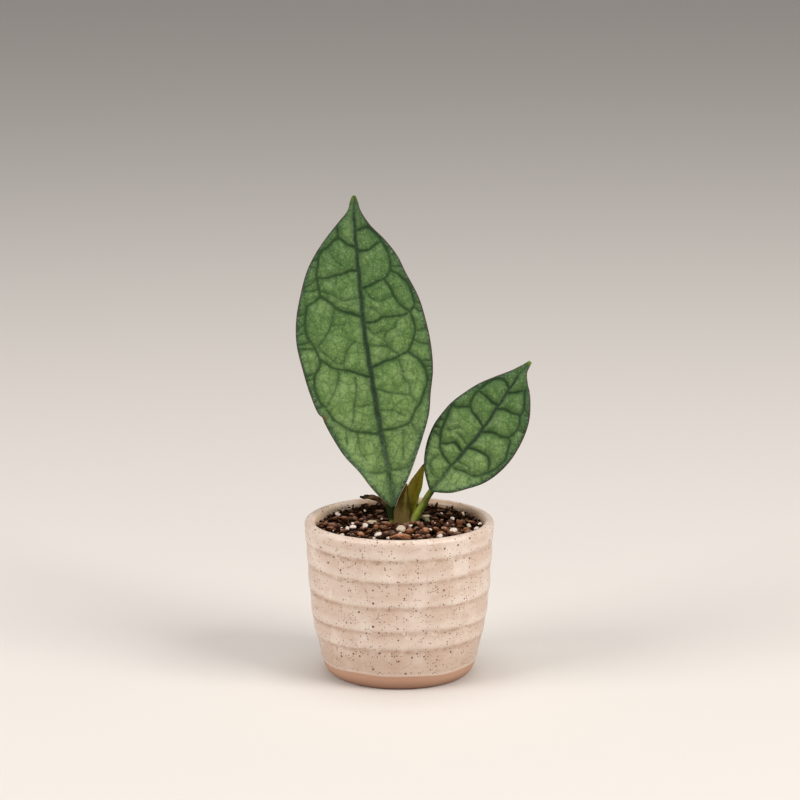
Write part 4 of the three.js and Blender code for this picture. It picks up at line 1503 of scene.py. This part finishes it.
LARGE_LEAF = LeafForm(
    name="large_leaf",
    base=(-2.5, 1.0, 79.6),
    tip=(-21.2, 23.9, 224.1),
    lean_back=9.0,
    turn=0.0,
    arch=5.0,
    base_curl=2.6,
    curl=1.2,
    left=(
        (0, -1.2), (5.5, -6), (11.5, -10), (18.5, -14), (27, -20), (36.5, -24.5), (43.6, -27.2),
        (46.4, -28.0), (48.2, -29.5), (59, -32.5), (70, -34.3), (82, -35.5), (93, -34.3),
        (104, -31), (115, -26.5), (122, -22), (128.5, -16.5), (135.5, -9.5), (141, -3.9),
        (144.5, -2.3), (146.5, -1.3), (147.6, -0.4),
    ),
    right=(
        (0, 1.0), (4.5, 3.2), (9.5, 6.5), (15.5, 10), (22.5, 13.5), (31, 17.5), (42, 22),
        (51.5, 24), (62, 26.4), (74, 27), (86, 26), (97, 24), (109, 19.5), (117, 16.7),
        (125, 12), (133.5, 5.5), (141, 2.0), (144.5, 1.4), (146.5, 0.9), (147.6, 0.4),
    ),
    midrib=(
        (0, 0), (11.5, 0), (28, -1), (43.5, -2), (61.5, -2.5), (83.5, -3.2), (104, -2.6),
        (123.5, -2), (140, -1), (146, -0.2),
    ),
    midrib_wide=(1.8, 0.55),
    midrib_depth=1.0,
    laterals=(
        ((131.5, -1), (132, 4.5)),
        ((121.5, -1.5), (121.5, 2.5), (124.5, 9.5)),
        ((132, 4.5), (128, 8.5), (123, 11), (116.5, 13), (111, 12.5)),
        ((104, -1), (105.5, 3.5), (107.5, 9), (110.5, 12.5)),
        ((110.5, 12.5), (107, 17.5), (102.5, 20), (97, 21.5), (92.5, 21), (90.5, 19)),
        ((107, 9), (101.5, 12), (98.5, 12.5), (94, 15.5), (90.5, 19)),
        ((88, -2), (88, 3.5), (89.5, 6), (89, 14), (90.5, 18.5)),
        ((67, -1.5), (68.5, 3.5), (70, 10), (72.5, 16), (80.5, 20), (84.5, 20.5), (90.5, 19)),
        ((72.5, 16), (69, 19), (65, 22.3), (59.5, 23.2), (56, 22.6), (52, 21), (47.5, 18.5)),
        ((36.5, -1), (37, 4), (37.5, 9), (39.5, 12.5), (45.5, 16.5), (47.5, 18.5)),
        ((18, -0.5), (17.5, 5), (18, 9.5)),
        (
            (123.5, -2.5), (125.5, -6), (128.5, -10), (125.5, -15), (122.5, -19.5), (117.5, -21),
            (111.5, -22), (106.5, -22), (102.5, -21.5),
        ),
        ((128.5, -10), (134, -9.5)),
        ((112.5, -3), (112.5, -7.5), (111.5, -13), (111, -17), (111.5, -21)),
        (
            (90.5, -3.5), (93, -8.5), (96, -14.5), (100, -18.5), (102.5, -21.5), (101, -24),
            (98.5, -28.5),
        ),
        ((98.5, -28.5), (93, -30), (87, -30.5), (81.5, -28.5), (78, -27), (73.5, -25.5)),
        ((62, -3), (65, -9), (67, -15), (69.5, -21), (73.5, -25.5)),
        ((73.5, -25.5), (70.5, -26), (66, -29), (58.5, -29.5), (53.5, -28), (51, -25.5)),
        ((35.5, -1.5), (36.5, -9), (38, -13.5), (40.5, -18), (44.5, -22.5), (49.5, -25.5)),
        ((17, -1), (17, -5.5), (17.5, -9)),
    ),
    threads=(
        ((69, 11), (64, 12), (59.5, 12.5), (57, 14.5), (52, 14), (48, 17.5)),
        ((105, -21), (103.5, -17.5), (102, -14.5), (99.5, -11), (99.5, -7.5), (100.5, -3)),
        ((102.5, -0.5), (99.5, 1.5), (97.5, 4.5), (97.5, 8), (99, 12)),
        ((94.5, 1.5), (91.5, 4.5), (89.5, 5.5)),
        ((87.5, 12.5), (84.5, 11), (82.5, 7.5), (80, 5.5), (75, 7.5), (72.5, 9.5), (71, 12)),
        ((86, -1.5), (82.5, 0.5), (83, 4.5), (82.5, 7.5)),
        ((77, -1), (76.5, 2.5), (76, 6), (74.5, 7.5)),
        ((79.5, -25.5), (75, -22), (71.5, -18.5), (70, -15)),
        ((56.5, -1.5), (54.5, 3.5), (53, 9), (51.5, 13.5)),
        ((46.5, 0), (45, 6), (42.5, 10.5)),
        ((39, 13), (34.5, 15), (32.5, 16.5), (26, 13.5), (19, 10)),
        ((35.5, 9), (28, 8), (22, 7)),
        ((124.5, -15), (119.5, -13), (116, -10)),
        ((111.5, -13), (107.5, -13.5)),
        ((95.5, -16), (89.5, -18), (84.5, -21), (79.5, -26)),
        ((89, -18), (88, -12)),
        ((79.5, -8.5), (76, -12.5), (72, -14), (67.5, -15)),
        ((67, -17.5), (61, -19), (55.5, -22), (51.5, -24.5)),
        ((62.5, -10), (55, -11), (49, -12.5), (43, -14), (40, -15.5)),
        ((49.5, -12), (49, -3)),
        ((38.5, -17.5), (32.5, -18)),
        ((37, -12.5), (29.5, -12.5), (23.5, -10)),
        ((40, -24), (32.5, -21), (26, -17.5), (19.5, -12.5), (17, -7.5)),
    ),
    ladders=(
        ((132, 4.5), (128, 8.5), (123, 11), (116.5, 13), (111, 12.5)),
        ((110.5, 12.5), (107, 17.5), (102.5, 20), (97, 21.5), (91, 21)),
        ((84.5, 20.5), (80.5, 20), (72.5, 16)),
        ((68.5, 19), (64, 22), (61, 23), (56, 22), (52, 21), (47.5, 18.5)),
        ((125.5, -15), (122.5, -19.5), (117.5, -21), (111.5, -22), (102.5, -21.5)),
        ((98.5, -28.5), (93, -30), (87, -30.5), (81.5, -28.5), (73.5, -25.5)),
        ((70.5, -25.5), (66, -29), (58.5, -29.5), (53.5, -28), (51, -25.5)),
        ((44.5, -22.5), (40, -24), (32.5, -21), (26, -17.5), (19.5, -12.5)),
    ),
    ladder_step=4.7,
    puff=0.34,
    groove=0.28,
    spacing=0.45,
    foot=(-1.9, 9.8),
    rise=((-2.4, 9.6, 71.5), (-4.3, 8.3, 78.2), (-4.7, 5.7, 84.0)),
    blade_end=((13, -1.1), (24, -0.8)),
    stalk_radii=(2.5, 2.3, 2.0, 1.8, 1.0, 0.3),
    yellow_tip=(0.975, 0.4),
    scar=(46.2, -26.6, 1.0),
)

SMALL_LEAF = LeafForm(
    name="small_leaf",
    base=(14.9, 4.0, 86.8),
    tip=(61.59, 5.2, 148.4),
    lean_back=10.0,
    turn=12.0,
    arch=3.0,
    base_curl=1.6,
    curl=0.8,
    left=(
        (0, -1.3), (3, -5), (7, -9), (13, -13), (19.5, -16), (26.5, -17.8), (33, -18),
        (39.5, -17.5), (47, -15.5), (54.5, -12.8), (61.5, -9), (68.5, -4.8), (73.5, -2.4),
        (77.6, -0.5),
    ),
    right=(
        (0, 1.2), (3, 5.5), (6, 9), (12, 13.5), (19, 18), (26.5, 20.5), (34.5, 21.5), (41.5, 21),
        (48.5, 19.5), (55, 17), (60.5, 13.5), (65.5, 9.2), (69, 5), (72.5, 1.9), (77.6, 0.4),
    ),
    midrib=(
        (0, 0), (10.5, 0.5), (22, 1.2), (34.5, 2), (47, 1.4), (56, 0.5), (63, 0), (69.5, -0.6),
        (76.5, -0.2),
    ),
    midrib_wide=(1.15, 0.45),
    midrib_depth=0.86,
    laterals=(
        ((61.5, -0.5), (63, -5.5), (61, -8), (56.5, -10), (52.5, -10.5)),
        ((52, 0.5), (51.5, -5), (52, -10.5)),
        ((39.5, 1.5), (41.5, -4.5), (43, -8.5), (45.5, -10.5), (49.5, -11), (52, -10.5)),
        ((43.5, -9), (39.5, -14), (39.5, -16.5)),
        (
            (39.5, -16.5), (34, -15.5), (29, -14), (24.5, -12.5), (20.5, -10), (18, -7),
            (16, -1.5), (15.5, 1),
        ),
        ((24.5, 0.5), (25, -5), (23, -7), (20.5, -10)),
        ((59.5, 1), (62, 3.5), (65, 6.5)),
        ((65, 6.5), (61.5, 9), (57, 12), (54.5, 12), (50.5, 14.5), (46.5, 15), (43.5, 14)),
        ((50.5, 2), (53, 5.5), (53.5, 8.5), (54.5, 12)),
        (
            (38, 3), (40.5, 7), (41.5, 11), (43, 13.5), (42, 15.5), (38.5, 17.5), (34, 19),
            (29, 18.5), (24, 16.5), (20, 13.5), (18, 10.5), (17, 6), (15.5, 2.5),
        ),
        ((27.2, 1.8), (28, 3.5), (29.5, 7), (30, 11), (28.5, 14), (25, 16)),
    ),
    threads=(
        ((27.5, -12), (29.5, -9.5), (32.5, -7)),
        ((28.5, 0.5), (29.5, -3.5), (29.5, -7)),
        ((16, -7.5), (12, -8.5), (8.5, -7), (6.5, -4), (7, -0.5)),
        ((19.5, 2), (20, 5), (20, 8), (18, 10.5)),
        ((17.5, 10.5), (14, 12)),
    ),
    ladders=(
        ((61, -8), (56.5, -10), (52.5, -10.5), (49.5, -11)),
        ((34, -15.5), (29, -14), (24.5, -12.5), (20.5, -10)),
        ((61.5, 9), (57, 12), (50.5, 14.5), (46.5, 15)),
        ((38.5, 17.5), (34, 19), (29, 18.5), (24, 16.5), (20, 13.5)),
    ),
    ladder_step=4.4,
    puff=0.85,
    groove=0.34,
    spacing=0.38,
    foot=(5.9, 8.3),
    rise=((6.9, 7.9, 71.5), (10.7, 6.6, 78.4), (14.0, 5.9, 84.4)),
    blade_end=((7, -0.9), (15, -0.6)),
    stalk_radii=(2.7, 2.15, 1.7, 1.5, 1.0, 0.3),
    yellow_tip=(0.968, 0.8),
    lit_stalk=True,
)

# Every stalk stands on the crown of the stem and leaves it upright.
STALK_FOOT = 66.35
FOOT_STRAIGHT = 1.5


def from_crown(foot: Pair, rise: Sequence[Triple]) -> list[Triple]:
    """List the points that a stalk passes on its way up from the crown."""
    return [(*foot, STALK_FOOT), (*foot, STALK_FOOT + FOOT_STRAIGHT), *rise]


@dataclass(frozen=True)
class BladePlan:
    """The vertices of a blade in its plan, and how near each is to the net.

    Attributes:
        row: The share of the leaf's length, from its base.
        a: Places along the leaf.
        c: Places across it.
        middle: Where the midrib runs.
        margin: How far away the margin is.
        core: The darkness of the veins.
        shade: The shade beside them.
        apart: The distance to the nearest vein.
        rib: The darkness of the midrib alone.
    """

    row: np.ndarray
    a: np.ndarray
    c: np.ndarray
    middle: np.ndarray
    margin: np.ndarray
    core: np.ndarray
    shade: np.ndarray
    apart: np.ndarray
    rib: np.ndarray


@dataclass
class GrownLeaf:
    """A broad leaf: its blade with the net of veins, and its stalk."""

    form: LeafForm
    thickness: float = 1.0
    rib_thickness: float = 1.55
    lateral_wide: Pair = (0.86, 0.62)
    lateral_depth: float = 0.96
    thread_wide: Pair = (0.6, 0.45)
    thread_depth: float = 0.55
    rung_wide: Pair = (0.6, 0.5)
    rung_depth: Pair = (0.55, 0.9)
    cell_reach: float = 2.4
    cell_fade: float = 2.2
    margin_drop: float = 0.35
    margin_round: float = 0.9

    def __post_init__(self) -> None:
        """Work out the leaf's own directions and its smooth outlines."""
        lean, turn = math.radians(self.form.lean_back), math.radians(self.form.turn)
        self.face = np.array(
            [-math.sin(turn) * math.cos(lean), -math.cos(turn) * math.cos(lean), math.sin(lean)]
        )
        axis = np.subtract(self.form.tip, self.form.base)
        self.length = float(np.linalg.norm(axis))
        self.axis = axis / self.length
        across = np.cross(self.axis, self.face)
        self.across = across / np.linalg.norm(across)
        self.left = smooth_profile(self.form.left)
        self.right = smooth_profile(self.form.right)
        self.midrib = smooth_profile(self.form.midrib)

    def bend(self, a: np.ndarray, c: np.ndarray) -> np.ndarray:
        """Return how far the blade bows forward at places of its plan."""
        t = np.clip(a / self.length, 0, 1)
        middle = self.midrib(a)
        edge = np.where(c < middle, middle - self.left(a), self.right(a) - middle)
        share = np.minimum(np.abs(c - middle) / edge, 1.1)
        curl = self.form.curl + self.form.base_curl * np.exp(-(((t - 0.1) / 0.2) ** 2))
        wave = 0.35 * np.sin(a / 5.3 + np.sign(c - middle)) * share**4
        bow = self.form.arch * np.sin(np.pi * t)
        return bow + (curl * share**2 + wave) * np.minimum(1, t * 12)

    def place(self, a: np.ndarray, c: np.ndarray, height: np.ndarray) -> np.ndarray:
        """Turn places of the plan, with a height over the blade, into row points."""
        lift = self.bend(a, c) + height
        return (
            np.asarray(self.form.base)
            + a[:, None] * self.axis
            + c[:, None] * self.across
            + lift[:, None] * self.face
        )

    def net(self) -> list[Vein]:
        """List every vein of the blade, with the rungs that cross to its margin."""
        form = self.form
        ends = (form.midrib[-1][0], 0.0)
        routes = [Vein((*form.midrib[:-1], ends), form.midrib_wide, form.midrib_depth)]
        routes += [Vein(route, self.lateral_wide, self.lateral_depth) for route in form.laterals]
        routes += [Vein(route, self.thread_wide, self.thread_depth) for route in form.threads]
        draw = random.Random(form.name)
        for route in form.ladders:
            line = smooth_route(route, 12)
            reach = reach_along(line)
            at = form.ladder_step * draw.uniform(0.3, 0.8)
            while at < reach[-1] - 1:
                a = float(np.interp(at, reach, line[:, 0]))
                c = float(np.interp(at, reach, line[:, 1]))
                out = a + draw.uniform(-3.2, 1.6)
                side = float(self.left(out) if c < self.midrib(a) else self.right(out))
                middle = (a * 0.3 + out * 0.7, c * 0.5 + side * 0.5)
                deep = draw.uniform(*self.rung_depth)
                routes.append(Vein(((a, c), middle, (out, side)), self.rung_wide, deep))
                at += form.ladder_step * draw.uniform(0.75, 1.3)
        return routes

    def nearness(self, a: np.ndarray, c: np.ndarray) -> tuple[np.ndarray, ...]:
        """Measure how near each place of the plan is to the net.

        Args:
            a: Places along the leaf.
            c: Places across it.

        Returns:
            The darkness of the veins, the shade beside them, the distance to the
            nearest vein, and the darkness of the midrib alone.
        """
        core, shade = np.zeros_like(a), np.zeros_like(a)
        rib, apart = np.zeros_like(a), np.full_like(a, 9.0)
        swing = 1 + 0.3 * np.sin(0.9 * a + 1.3 * c) * np.sin(0.53 * a - 0.8 * c)
        a, c = a + 0.2 * np.sin(0.7 * c + 0.3 * a), c + 0.16 * np.sin(0.55 * a - 0.4 * c)
        for index, vein in enumerate(self.net()):
            line = smooth_route(vein.route, 5)
            widths = np.linspace(vein.wide[0], vein.wide[1], len(line))
            low, high = line.min(axis=0) - 6, line.max(axis=0) + 6
            close = (a > low[0]) & (a < high[0]) & (c > low[1]) & (c < high[1])
            spots = np.column_stack([a[close], c[close]])
            best, wide = np.full(len(spots), 9.0), np.full(len(spots), 1.0)
            for k, (start, end) in enumerate(zip(line, line[1:])):
                step = end - start
                share = np.clip((spots - start) @ step / max(step @ step, 1e-9), 0, 1)
                gap = np.linalg.norm(spots - start - share[:, None] * step, axis=1)
                nearer = gap < best
                best = np.where(nearer, gap, best)
                wide = np.where(nearer, widths[k], wide)
            wide = wide * (swing[close] if index else 1.0)
            darkness = vein.depth * (1 - ease(best / wide, 0.1, 1.45))
            core[close] = np.maximum(core[close], darkness)
            halo = vein.depth * np.exp(-((best / (wide * 2.0 + 0.4)) ** 2))
            shade[close] = np.maximum(shade[close], halo)
            weight = best + (1 - vein.depth) * 1.6
            apart[close] = np.minimum(apart[close], weight)
            if index == 0:
                rib[close] = darkness
        return core, shade, apart, rib

    def spread(self, rows: int, columns: int) -> BladePlan:
        """Spread the vertices of the blade over its plan, row by row from its base."""
        row = np.repeat(np.linspace(0, 1, rows), columns)
        share = np.tile(np.linspace(-1, 1, columns), rows)
        a = row * self.length
        left, right, middle = self.left(a), self.right(a), self.midrib(a)
        reach = np.where(share < 0, middle - left, right - middle) - 0.03
        c = middle + share * reach
        margin = np.minimum(c - left, right - c)
        return BladePlan(row, a, c, middle, margin, *self.nearness(a, c))

    def scar(self, a: np.ndarray, c: np.ndarray) -> np.ndarray:
        """Return how brown each place of the plan is round the old nick."""
        if not self.form.scar:
            return np.zeros_like(a)
        along, aside, size = self.form.scar
        return 0.9 * np.exp(-(((a - along) / (size * 1.6)) ** 2 + ((c - aside) / size) ** 2))

    def mark(self, piece: bpy.types.Object, plan: BladePlan) -> None:
        """Keep in the mesh what the skin's colours follow: the net, the margin, and a blade paler
        towards the base and darker towards the tip.
        """
        row, a, c, margin, rib = plan.row, plan.a, plan.c, plan.margin, plan.rib
        root = 0.45 + 0.55 * ease(row, 0.0, 0.36)
        near_rib = 0.78 + 0.22 * np.exp(-(((c - plan.middle) / 9) ** 2))
        near_base = 1 - ease(row, 0.1, 0.4)
        near_tip = 1 - ease(self.length - a, 6.0, 11.0)
        veins = plan.core * root * near_rib * (1 - 0.22 * rib * near_base) * (1 - 0.6 * near_tip)
        fleck = rib * (0.3 + 0.45 * near_base) + 0.5 * near_base * np.exp(-margin / 4)
        ragged = 1 + 0.5 * np.sin(1.9 * a + 1.3 * c) * np.sin(0.83 * a - 1.7 * c)
        band = 0.72 * np.exp(-((margin / (1.35 * ragged)) ** 2))
        band += 0.22 * np.exp(-((margin / 3.2) ** 2))
        band *= (0.85 + 0.15 * near_base) * (1 - 0.6 * near_tip)
        line = 0.9 * (1 - ease(margin, 0.25, 0.75)) * ease(row, 0.1, 0.3)
        pale = (1 - ease(margin, 0.15, 0.55)) * (1 - ease(row, 0.1, 0.22))
        start, most = self.form.yellow_tip
        store(
            piece,
            vein=veins * (0.25 + 0.75 * np.clip(margin / 0.8, 0, 1)),
            shade=np.clip(plan.shade * 0.62, 0, 1) * root,
            rib=rib * root * (1 - 0.3 * near_base) * (1 - 0.7 * near_tip),
            silvery=np.clip(fleck, 0, 1),
            margin=np.clip(band, 0, 0.95),
            line=line * (1 - ease(row, 0.94, 0.98)),
            pale_line=0.8 * pale,
            # Paler towards the base, darker towards the tip.
            young=1 - ease(row, -0.1, 0.62),
            old=ease(row, 0.4, 0.95),
            tip=most * ease(row, start, 0.998),
            scar=self.scar(a, c),
        )

    def blade(self) -> bpy.types.Object:
        """Make the blade with its veins sunk and its cells puffed."""
        form = self.form
        widest = max(c for _, c in form.right) - min(c for _, c in form.left)
        rows, columns = int(self.length / form.spacing), int(widest / form.spacing)
        piece = grid_piece(form.name + "_blade", rows, columns)
        plan = self.spread(rows, columns)
        swell = 1 - np.exp(-((plan.apart / self.cell_reach) ** 2))
        fade = np.clip(plan.margin / self.cell_fade, 0, 1)
        height = self.thickness / 2 - form.groove + (form.puff + form.groove) * swell * fade
        height -= self.margin_drop * (1 - np.clip(plan.margin / self.margin_round, 0, 1)) ** 2
        set_vertices(piece, self.place(plan.a, plan.c, height))
        self.mark(piece, plan)
        group = piece.vertex_groups.new(name="body")
        body = np.clip(0.62 + 0.2 * plan.core + 0.18 * plan.rib, 0, 1)
        for index, weight in enumerate(body * np.clip(0.25 + plan.margin / 1.4, 0, 1)):
            group.add([index], float(weight), "REPLACE")
        apply_modifier(
            piece, "SOLIDIFY", thickness=self.rib_thickness * MM, offset=-1, vertex_group="body",
            thickness_vertex_group=0.0,
        )
        store(piece, under=np.arange(len(piece.data.vertices)) >= len(plan.a))
        smooth_faces(piece)
        piece.data.materials.append(LeafSkin().material())
        return piece

    def stalk(self) -> bpy.types.Object:
        """Make the stalk, from the crown up into the back of the blade."""
        form = self.form
        points = from_crown(form.foot, form.rise)
        for along, height in form.blade_end:
            a = np.array([float(along)])
            points.append(tuple(self.place(a, self.midrib(a), np.array([height]))[0]))
        line = smooth_route(points, 12)
        piece = stalk_piece(form.name + "_stalk", line, form.stalk_radii)
        places = get_vertices(piece)
        nearest = np.linalg.norm(places[:, None] - line[None], axis=2).argmin(axis=1)
        side, height = places[:, 0] - line[nearest, 0], places[:, 2]
        if form.lit_stalk:
            sunny = np.clip(0.35 - 0.4 * side - ease(height, 76, 84) * 0.35, 0, 0.9)
            shaded = np.clip(0.1 + 0.3 * side + 0.3 * ease(height, 77, 85), 0, 0.8)
            tan = np.clip(0.25 - 0.5 * side, 0, 0.7) * (1 - ease(height, 71, 75.5))
            store(piece, sunny=sunny, shaded=shaded, tan=tan)
        else:
            sunny, shaded = 1 - ease(height, 70.3, 72.0), ease(height, 70.3, 72.5)
            store(piece, sunny=0.9 * sunny, shaded=0.97 * shaded)
        # Peat on the stalk where it dips into the mix, with painted shade there: near black.
        store(piece, soiled=0.95 * (1 - ease(height, 69.5, 70.4)))
        piece.data.materials.append(StalkSkin().material())
        return piece

    def build(self) -> None:
        """Make the whole leaf as one piece and dress it."""
        leaf = join_pieces(self.blade(), self.stalk())
        leaf.name = leaf.data.name = self.form.name + "_grown"
        dress(leaf, LeafSkin(), [self.form.name])


# -------------------------------------------------------- young and dry leaves


class Stage(Enum):
    """How far a folded leaf has come."""

    NEW = "new and still bronze"
    OPENING = "opening and turning olive"
    WITHERED = "withered"


@dataclass(frozen=True)
class FoldedForm:
    """A narrow leaf that is still folded, or has withered so.

    Attributes:
        node: The CAD node.
        stage: How far it has come.
        foot: Where it leaves the crown.
        rise: The points that its middle passes.
        half_widths: Its half widths, in even steps from its foot.
        sag: How deep its fold is, in the same steps.
        wide: Roughly the direction of its width.
        thickness: How thick the blade is.
        crumple: How far its wrinkles reach.
    """

    node: str
    stage: Stage
    foot: Pair
    rise: tuple[Triple, ...]
    half_widths: tuple[float, ...]
    sag: tuple[float, ...]
    wide: Triple
    thickness: float = 0.8
    crumple: float = 0.0


SHORT_YOUNG_LEAF = FoldedForm(
    node="young_leaf_short",
    stage=Stage.NEW,
    foot=(1.0, 6.2),
    rise=((1.0, 5.8, 72.0), (1.5, 6.2, 79.5), (3.4, 8.2, 89.2)),
    half_widths=(3.6, 3.9, 3.7, 3.2, 2.0, 0.4),
    sag=(2.4, 2.6, 2.4, 2.0, 1.2, 0.3),
    wide=(1.0, 0.0, 0.0),
)
TALL_YOUNG_LEAF = FoldedForm(
    node="young_leaf_tall",
    stage=Stage.OPENING,
    foot=(3.8, 12.2),
    rise=((4.2, 12.3, 72.0), (6.1, 12.5, 82.5), (11.7, 12.4, 97.6)),
    half_widths=(2.4, 2.8, 3.3, 3.5, 2.3, 0.4),
    sag=(2.0, 2.2, 2.2, 2.0, 1.2, 0.3),
    wide=(1.0, 0.0, -0.3),
)
DRY_LEAF = FoldedForm(
    node="dry_leaf",
    stage=Stage.WITHERED,
    foot=(-2.4, 13.4),
    rise=(
        (-2.9, 13.8, 71.5), (-5.2, 15.2, 76.6), (-9.2, 18.0, 78.8), (-14.0, 21.2, 79.4),
        (-18.6, 23.6, 78.8),
    ),
    half_widths=(1.0, 1.1, 1.5, 1.7, 1.2, 0.3),
    sag=(0.4, 0.5, 0.8, 0.9, 0.5, 0.1),
    wide=(0.45, -0.35, 1.0),
    thickness=0.6,
    crumple=0.35,
)


@dataclass
class FoldedLeaf:
    """A young or dry leaf: one folded blade on its own foot in the crown."""

    form: FoldedForm
    rows: int = 90
    columns: int = 33
    keel: float = 1.6
    bevel: float = 0.12

    def mark(self, piece: bpy.types.Object, t: np.ndarray, share: np.ndarray) -> None:
        """Keep in the mesh what a young leaf's colours follow.

        Args:
            piece: The blade.
            t: How far along the leaf each vertex is, from 0 to 1.
            share: How far across it each vertex is, from -1 to 1.
        """
        opening = self.form.stage is Stage.OPENING
        band = np.exp(-(((share - 0.45) / 0.22) ** 2)) * ease(t, 0.25, 0.4)
        right = ease(share, 0.3, 0.8)
        dark = 0.4 * (1 - ease(share, -1.0, -0.6))
        if opening:
            olive = np.clip(0.3 * band + 0.66 + 0.34 * ease(t, 0.6, 0.9), 0, 1)
            dark += 0.6 * (1 - ease(t, 0.2, 0.6)) * (1 - right)
        else:
            olive = 0.15 * band
            dark += 0.75 * right
        store(
            piece,
            olive=olive,
            green=ease(share, 0.45, 0.9) * (0.95 if opening else 0.15),
            dark=np.clip(dark * ease(t, 0.1, 0.3), 0, 0.85),
            dusty=(0.1 if opening else 0.7) * (1 - ease(t, 0.3, 0.6)),
            tip=ease(t, 0.93, 0.99) * 0.9,
        )

    def build(self) -> None:
        """Make the blade, thicken it and dress it."""
        form = self.form
        line = smooth_route(from_crown(form.foot, form.rise), 14)
        piece = grid_piece(form.node + "_blade", self.rows, self.columns)
        draw = random.Random(form.node)
        phases = [draw.uniform(0, TAU) for _ in range(3)]
        places, marks = [], []
        for t, centre, width, depth in even_stations(line, form.wide, self.rows):
            half, sag = part_way(t, form.half_widths), part_way(t, form.sag)
            for share in np.linspace(-1, 1, self.columns):
                inward = -sag * (1 - abs(share) ** self.keel)
                ripple = form.crumple * math.sin(19 * t + 3 * share + phases[0])
                ripple += form.crumple * 0.6 * math.sin(37 * t - 5 * share + phases[1])
                edge = half * share * (1 + 0.05 * math.sin(23 * t + phases[2]) * (t > 0.15))
                places.append(centre + width * edge + depth * (inward + ripple))
                marks.append((t, share))
        set_vertices(piece, np.array(places))
        withered = form.stage is Stage.WITHERED
        if not withered:
            self.mark(piece, *np.transpose(marks))
        apply_modifier(piece, "SOLIDIFY", thickness=form.thickness * MM, offset=-1)
        apply_modifier(piece, "BEVEL", width=self.bevel * MM, segments=2, limit_method="ANGLE")
        smooth_faces(piece)
        finish, slot = (DrySkin(), "dry_leaf") if withered else (YoungSkin(), "young_leaf")
        dress(piece, finish, [form.node])


# -------------------------------------------------------------------- the studio


@dataclass(frozen=True)
class Studio:
    """A plain pale floor and soft light from the front and above."""

    floor: str = "#d9d4cf"
    floor_size: float = 9000.0
    sky: str = "#e9e6e3"
    sky_strength: float = 0.35
    aim_height: float = 100.0

    def lamp(self, name: str, place: Triple, size: float, power: float, code: str) -> None:
        """Hang one soft square lamp that looks at the plant."""
        data = bpy.data.lights.new(name, "AREA")
        data.size = size * MM
        data.energy = power
        data.color = linear(code)[:3]
        lamp = bpy.data.objects.new(name, data)
        lamp.location = Vector(place) * MM
        aim = Vector((0, 0, self.aim_height * MM)) - lamp.location
        lamp.rotation_euler = aim.to_track_quat("-Z", "Y").to_euler()
        bpy.context.collection.objects.link(lamp)

    def build(self) -> None:
        """Lay the floor and hang the lamps."""
        bpy.ops.object.select_all(action="DESELECT")
        bpy.ops.mesh.primitive_plane_add(size=self.floor_size * MM, location=(0, 0, 0))
        floor = active_mesh("floor")
        matt = bpy.data.materials.new("floor_paint")
        matt.use_nodes = True
        surface = matt.node_tree.nodes["Principled BSDF"]
        surface.inputs["Base Color"].default_value = linear(self.floor)
        surface.inputs["Roughness"].default_value = 0.9
        floor.data.materials.append(matt)
        world = bpy.data.worlds.new("studio")
        world.use_nodes = True
        back = world.node_tree.nodes["Background"]
        back.inputs[0].default_value = linear(self.sky)
        back.inputs[1].default_value = self.sky_strength
        bpy.context.scene.world = world
        bpy.context.scene.view_settings.view_transform = "Standard"
        self.lamp("key", (1650, -1000, 1250), 1300, 46, "#fffaf4")
        self.lamp("fill", (-1650, -850, 950), 1200, 30, "#fffaf6")
        self.lamp("top", (0, 100, 1600), 900, 9, "#ffffff")


def main() -> None:
    """Build the plant, its pot and the studio, and log each piece's triangles."""
    logging.basicConfig(level=logging.INFO, format="%(name)s: %(message)s")
    view = Viewpoint()
    ThrownPot().build()
    PottingMix(view).build()
    for form in (LARGE_LEAF, SMALL_LEAF):
        GrownLeaf(form).build()
    for folded in (SHORT_YOUNG_LEAF, TALL_YOUNG_LEAF, DRY_LEAF):
        FoldedLeaf(folded).build()
    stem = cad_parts["stem"]
    stem.data.materials.clear()
    stem.data.materials.append(StemSkin().material())
    log.info("stem: the CAD node stays, in its own finish")
    view.build()
    Studio().build()


if __name__ == "__main__":
    main()
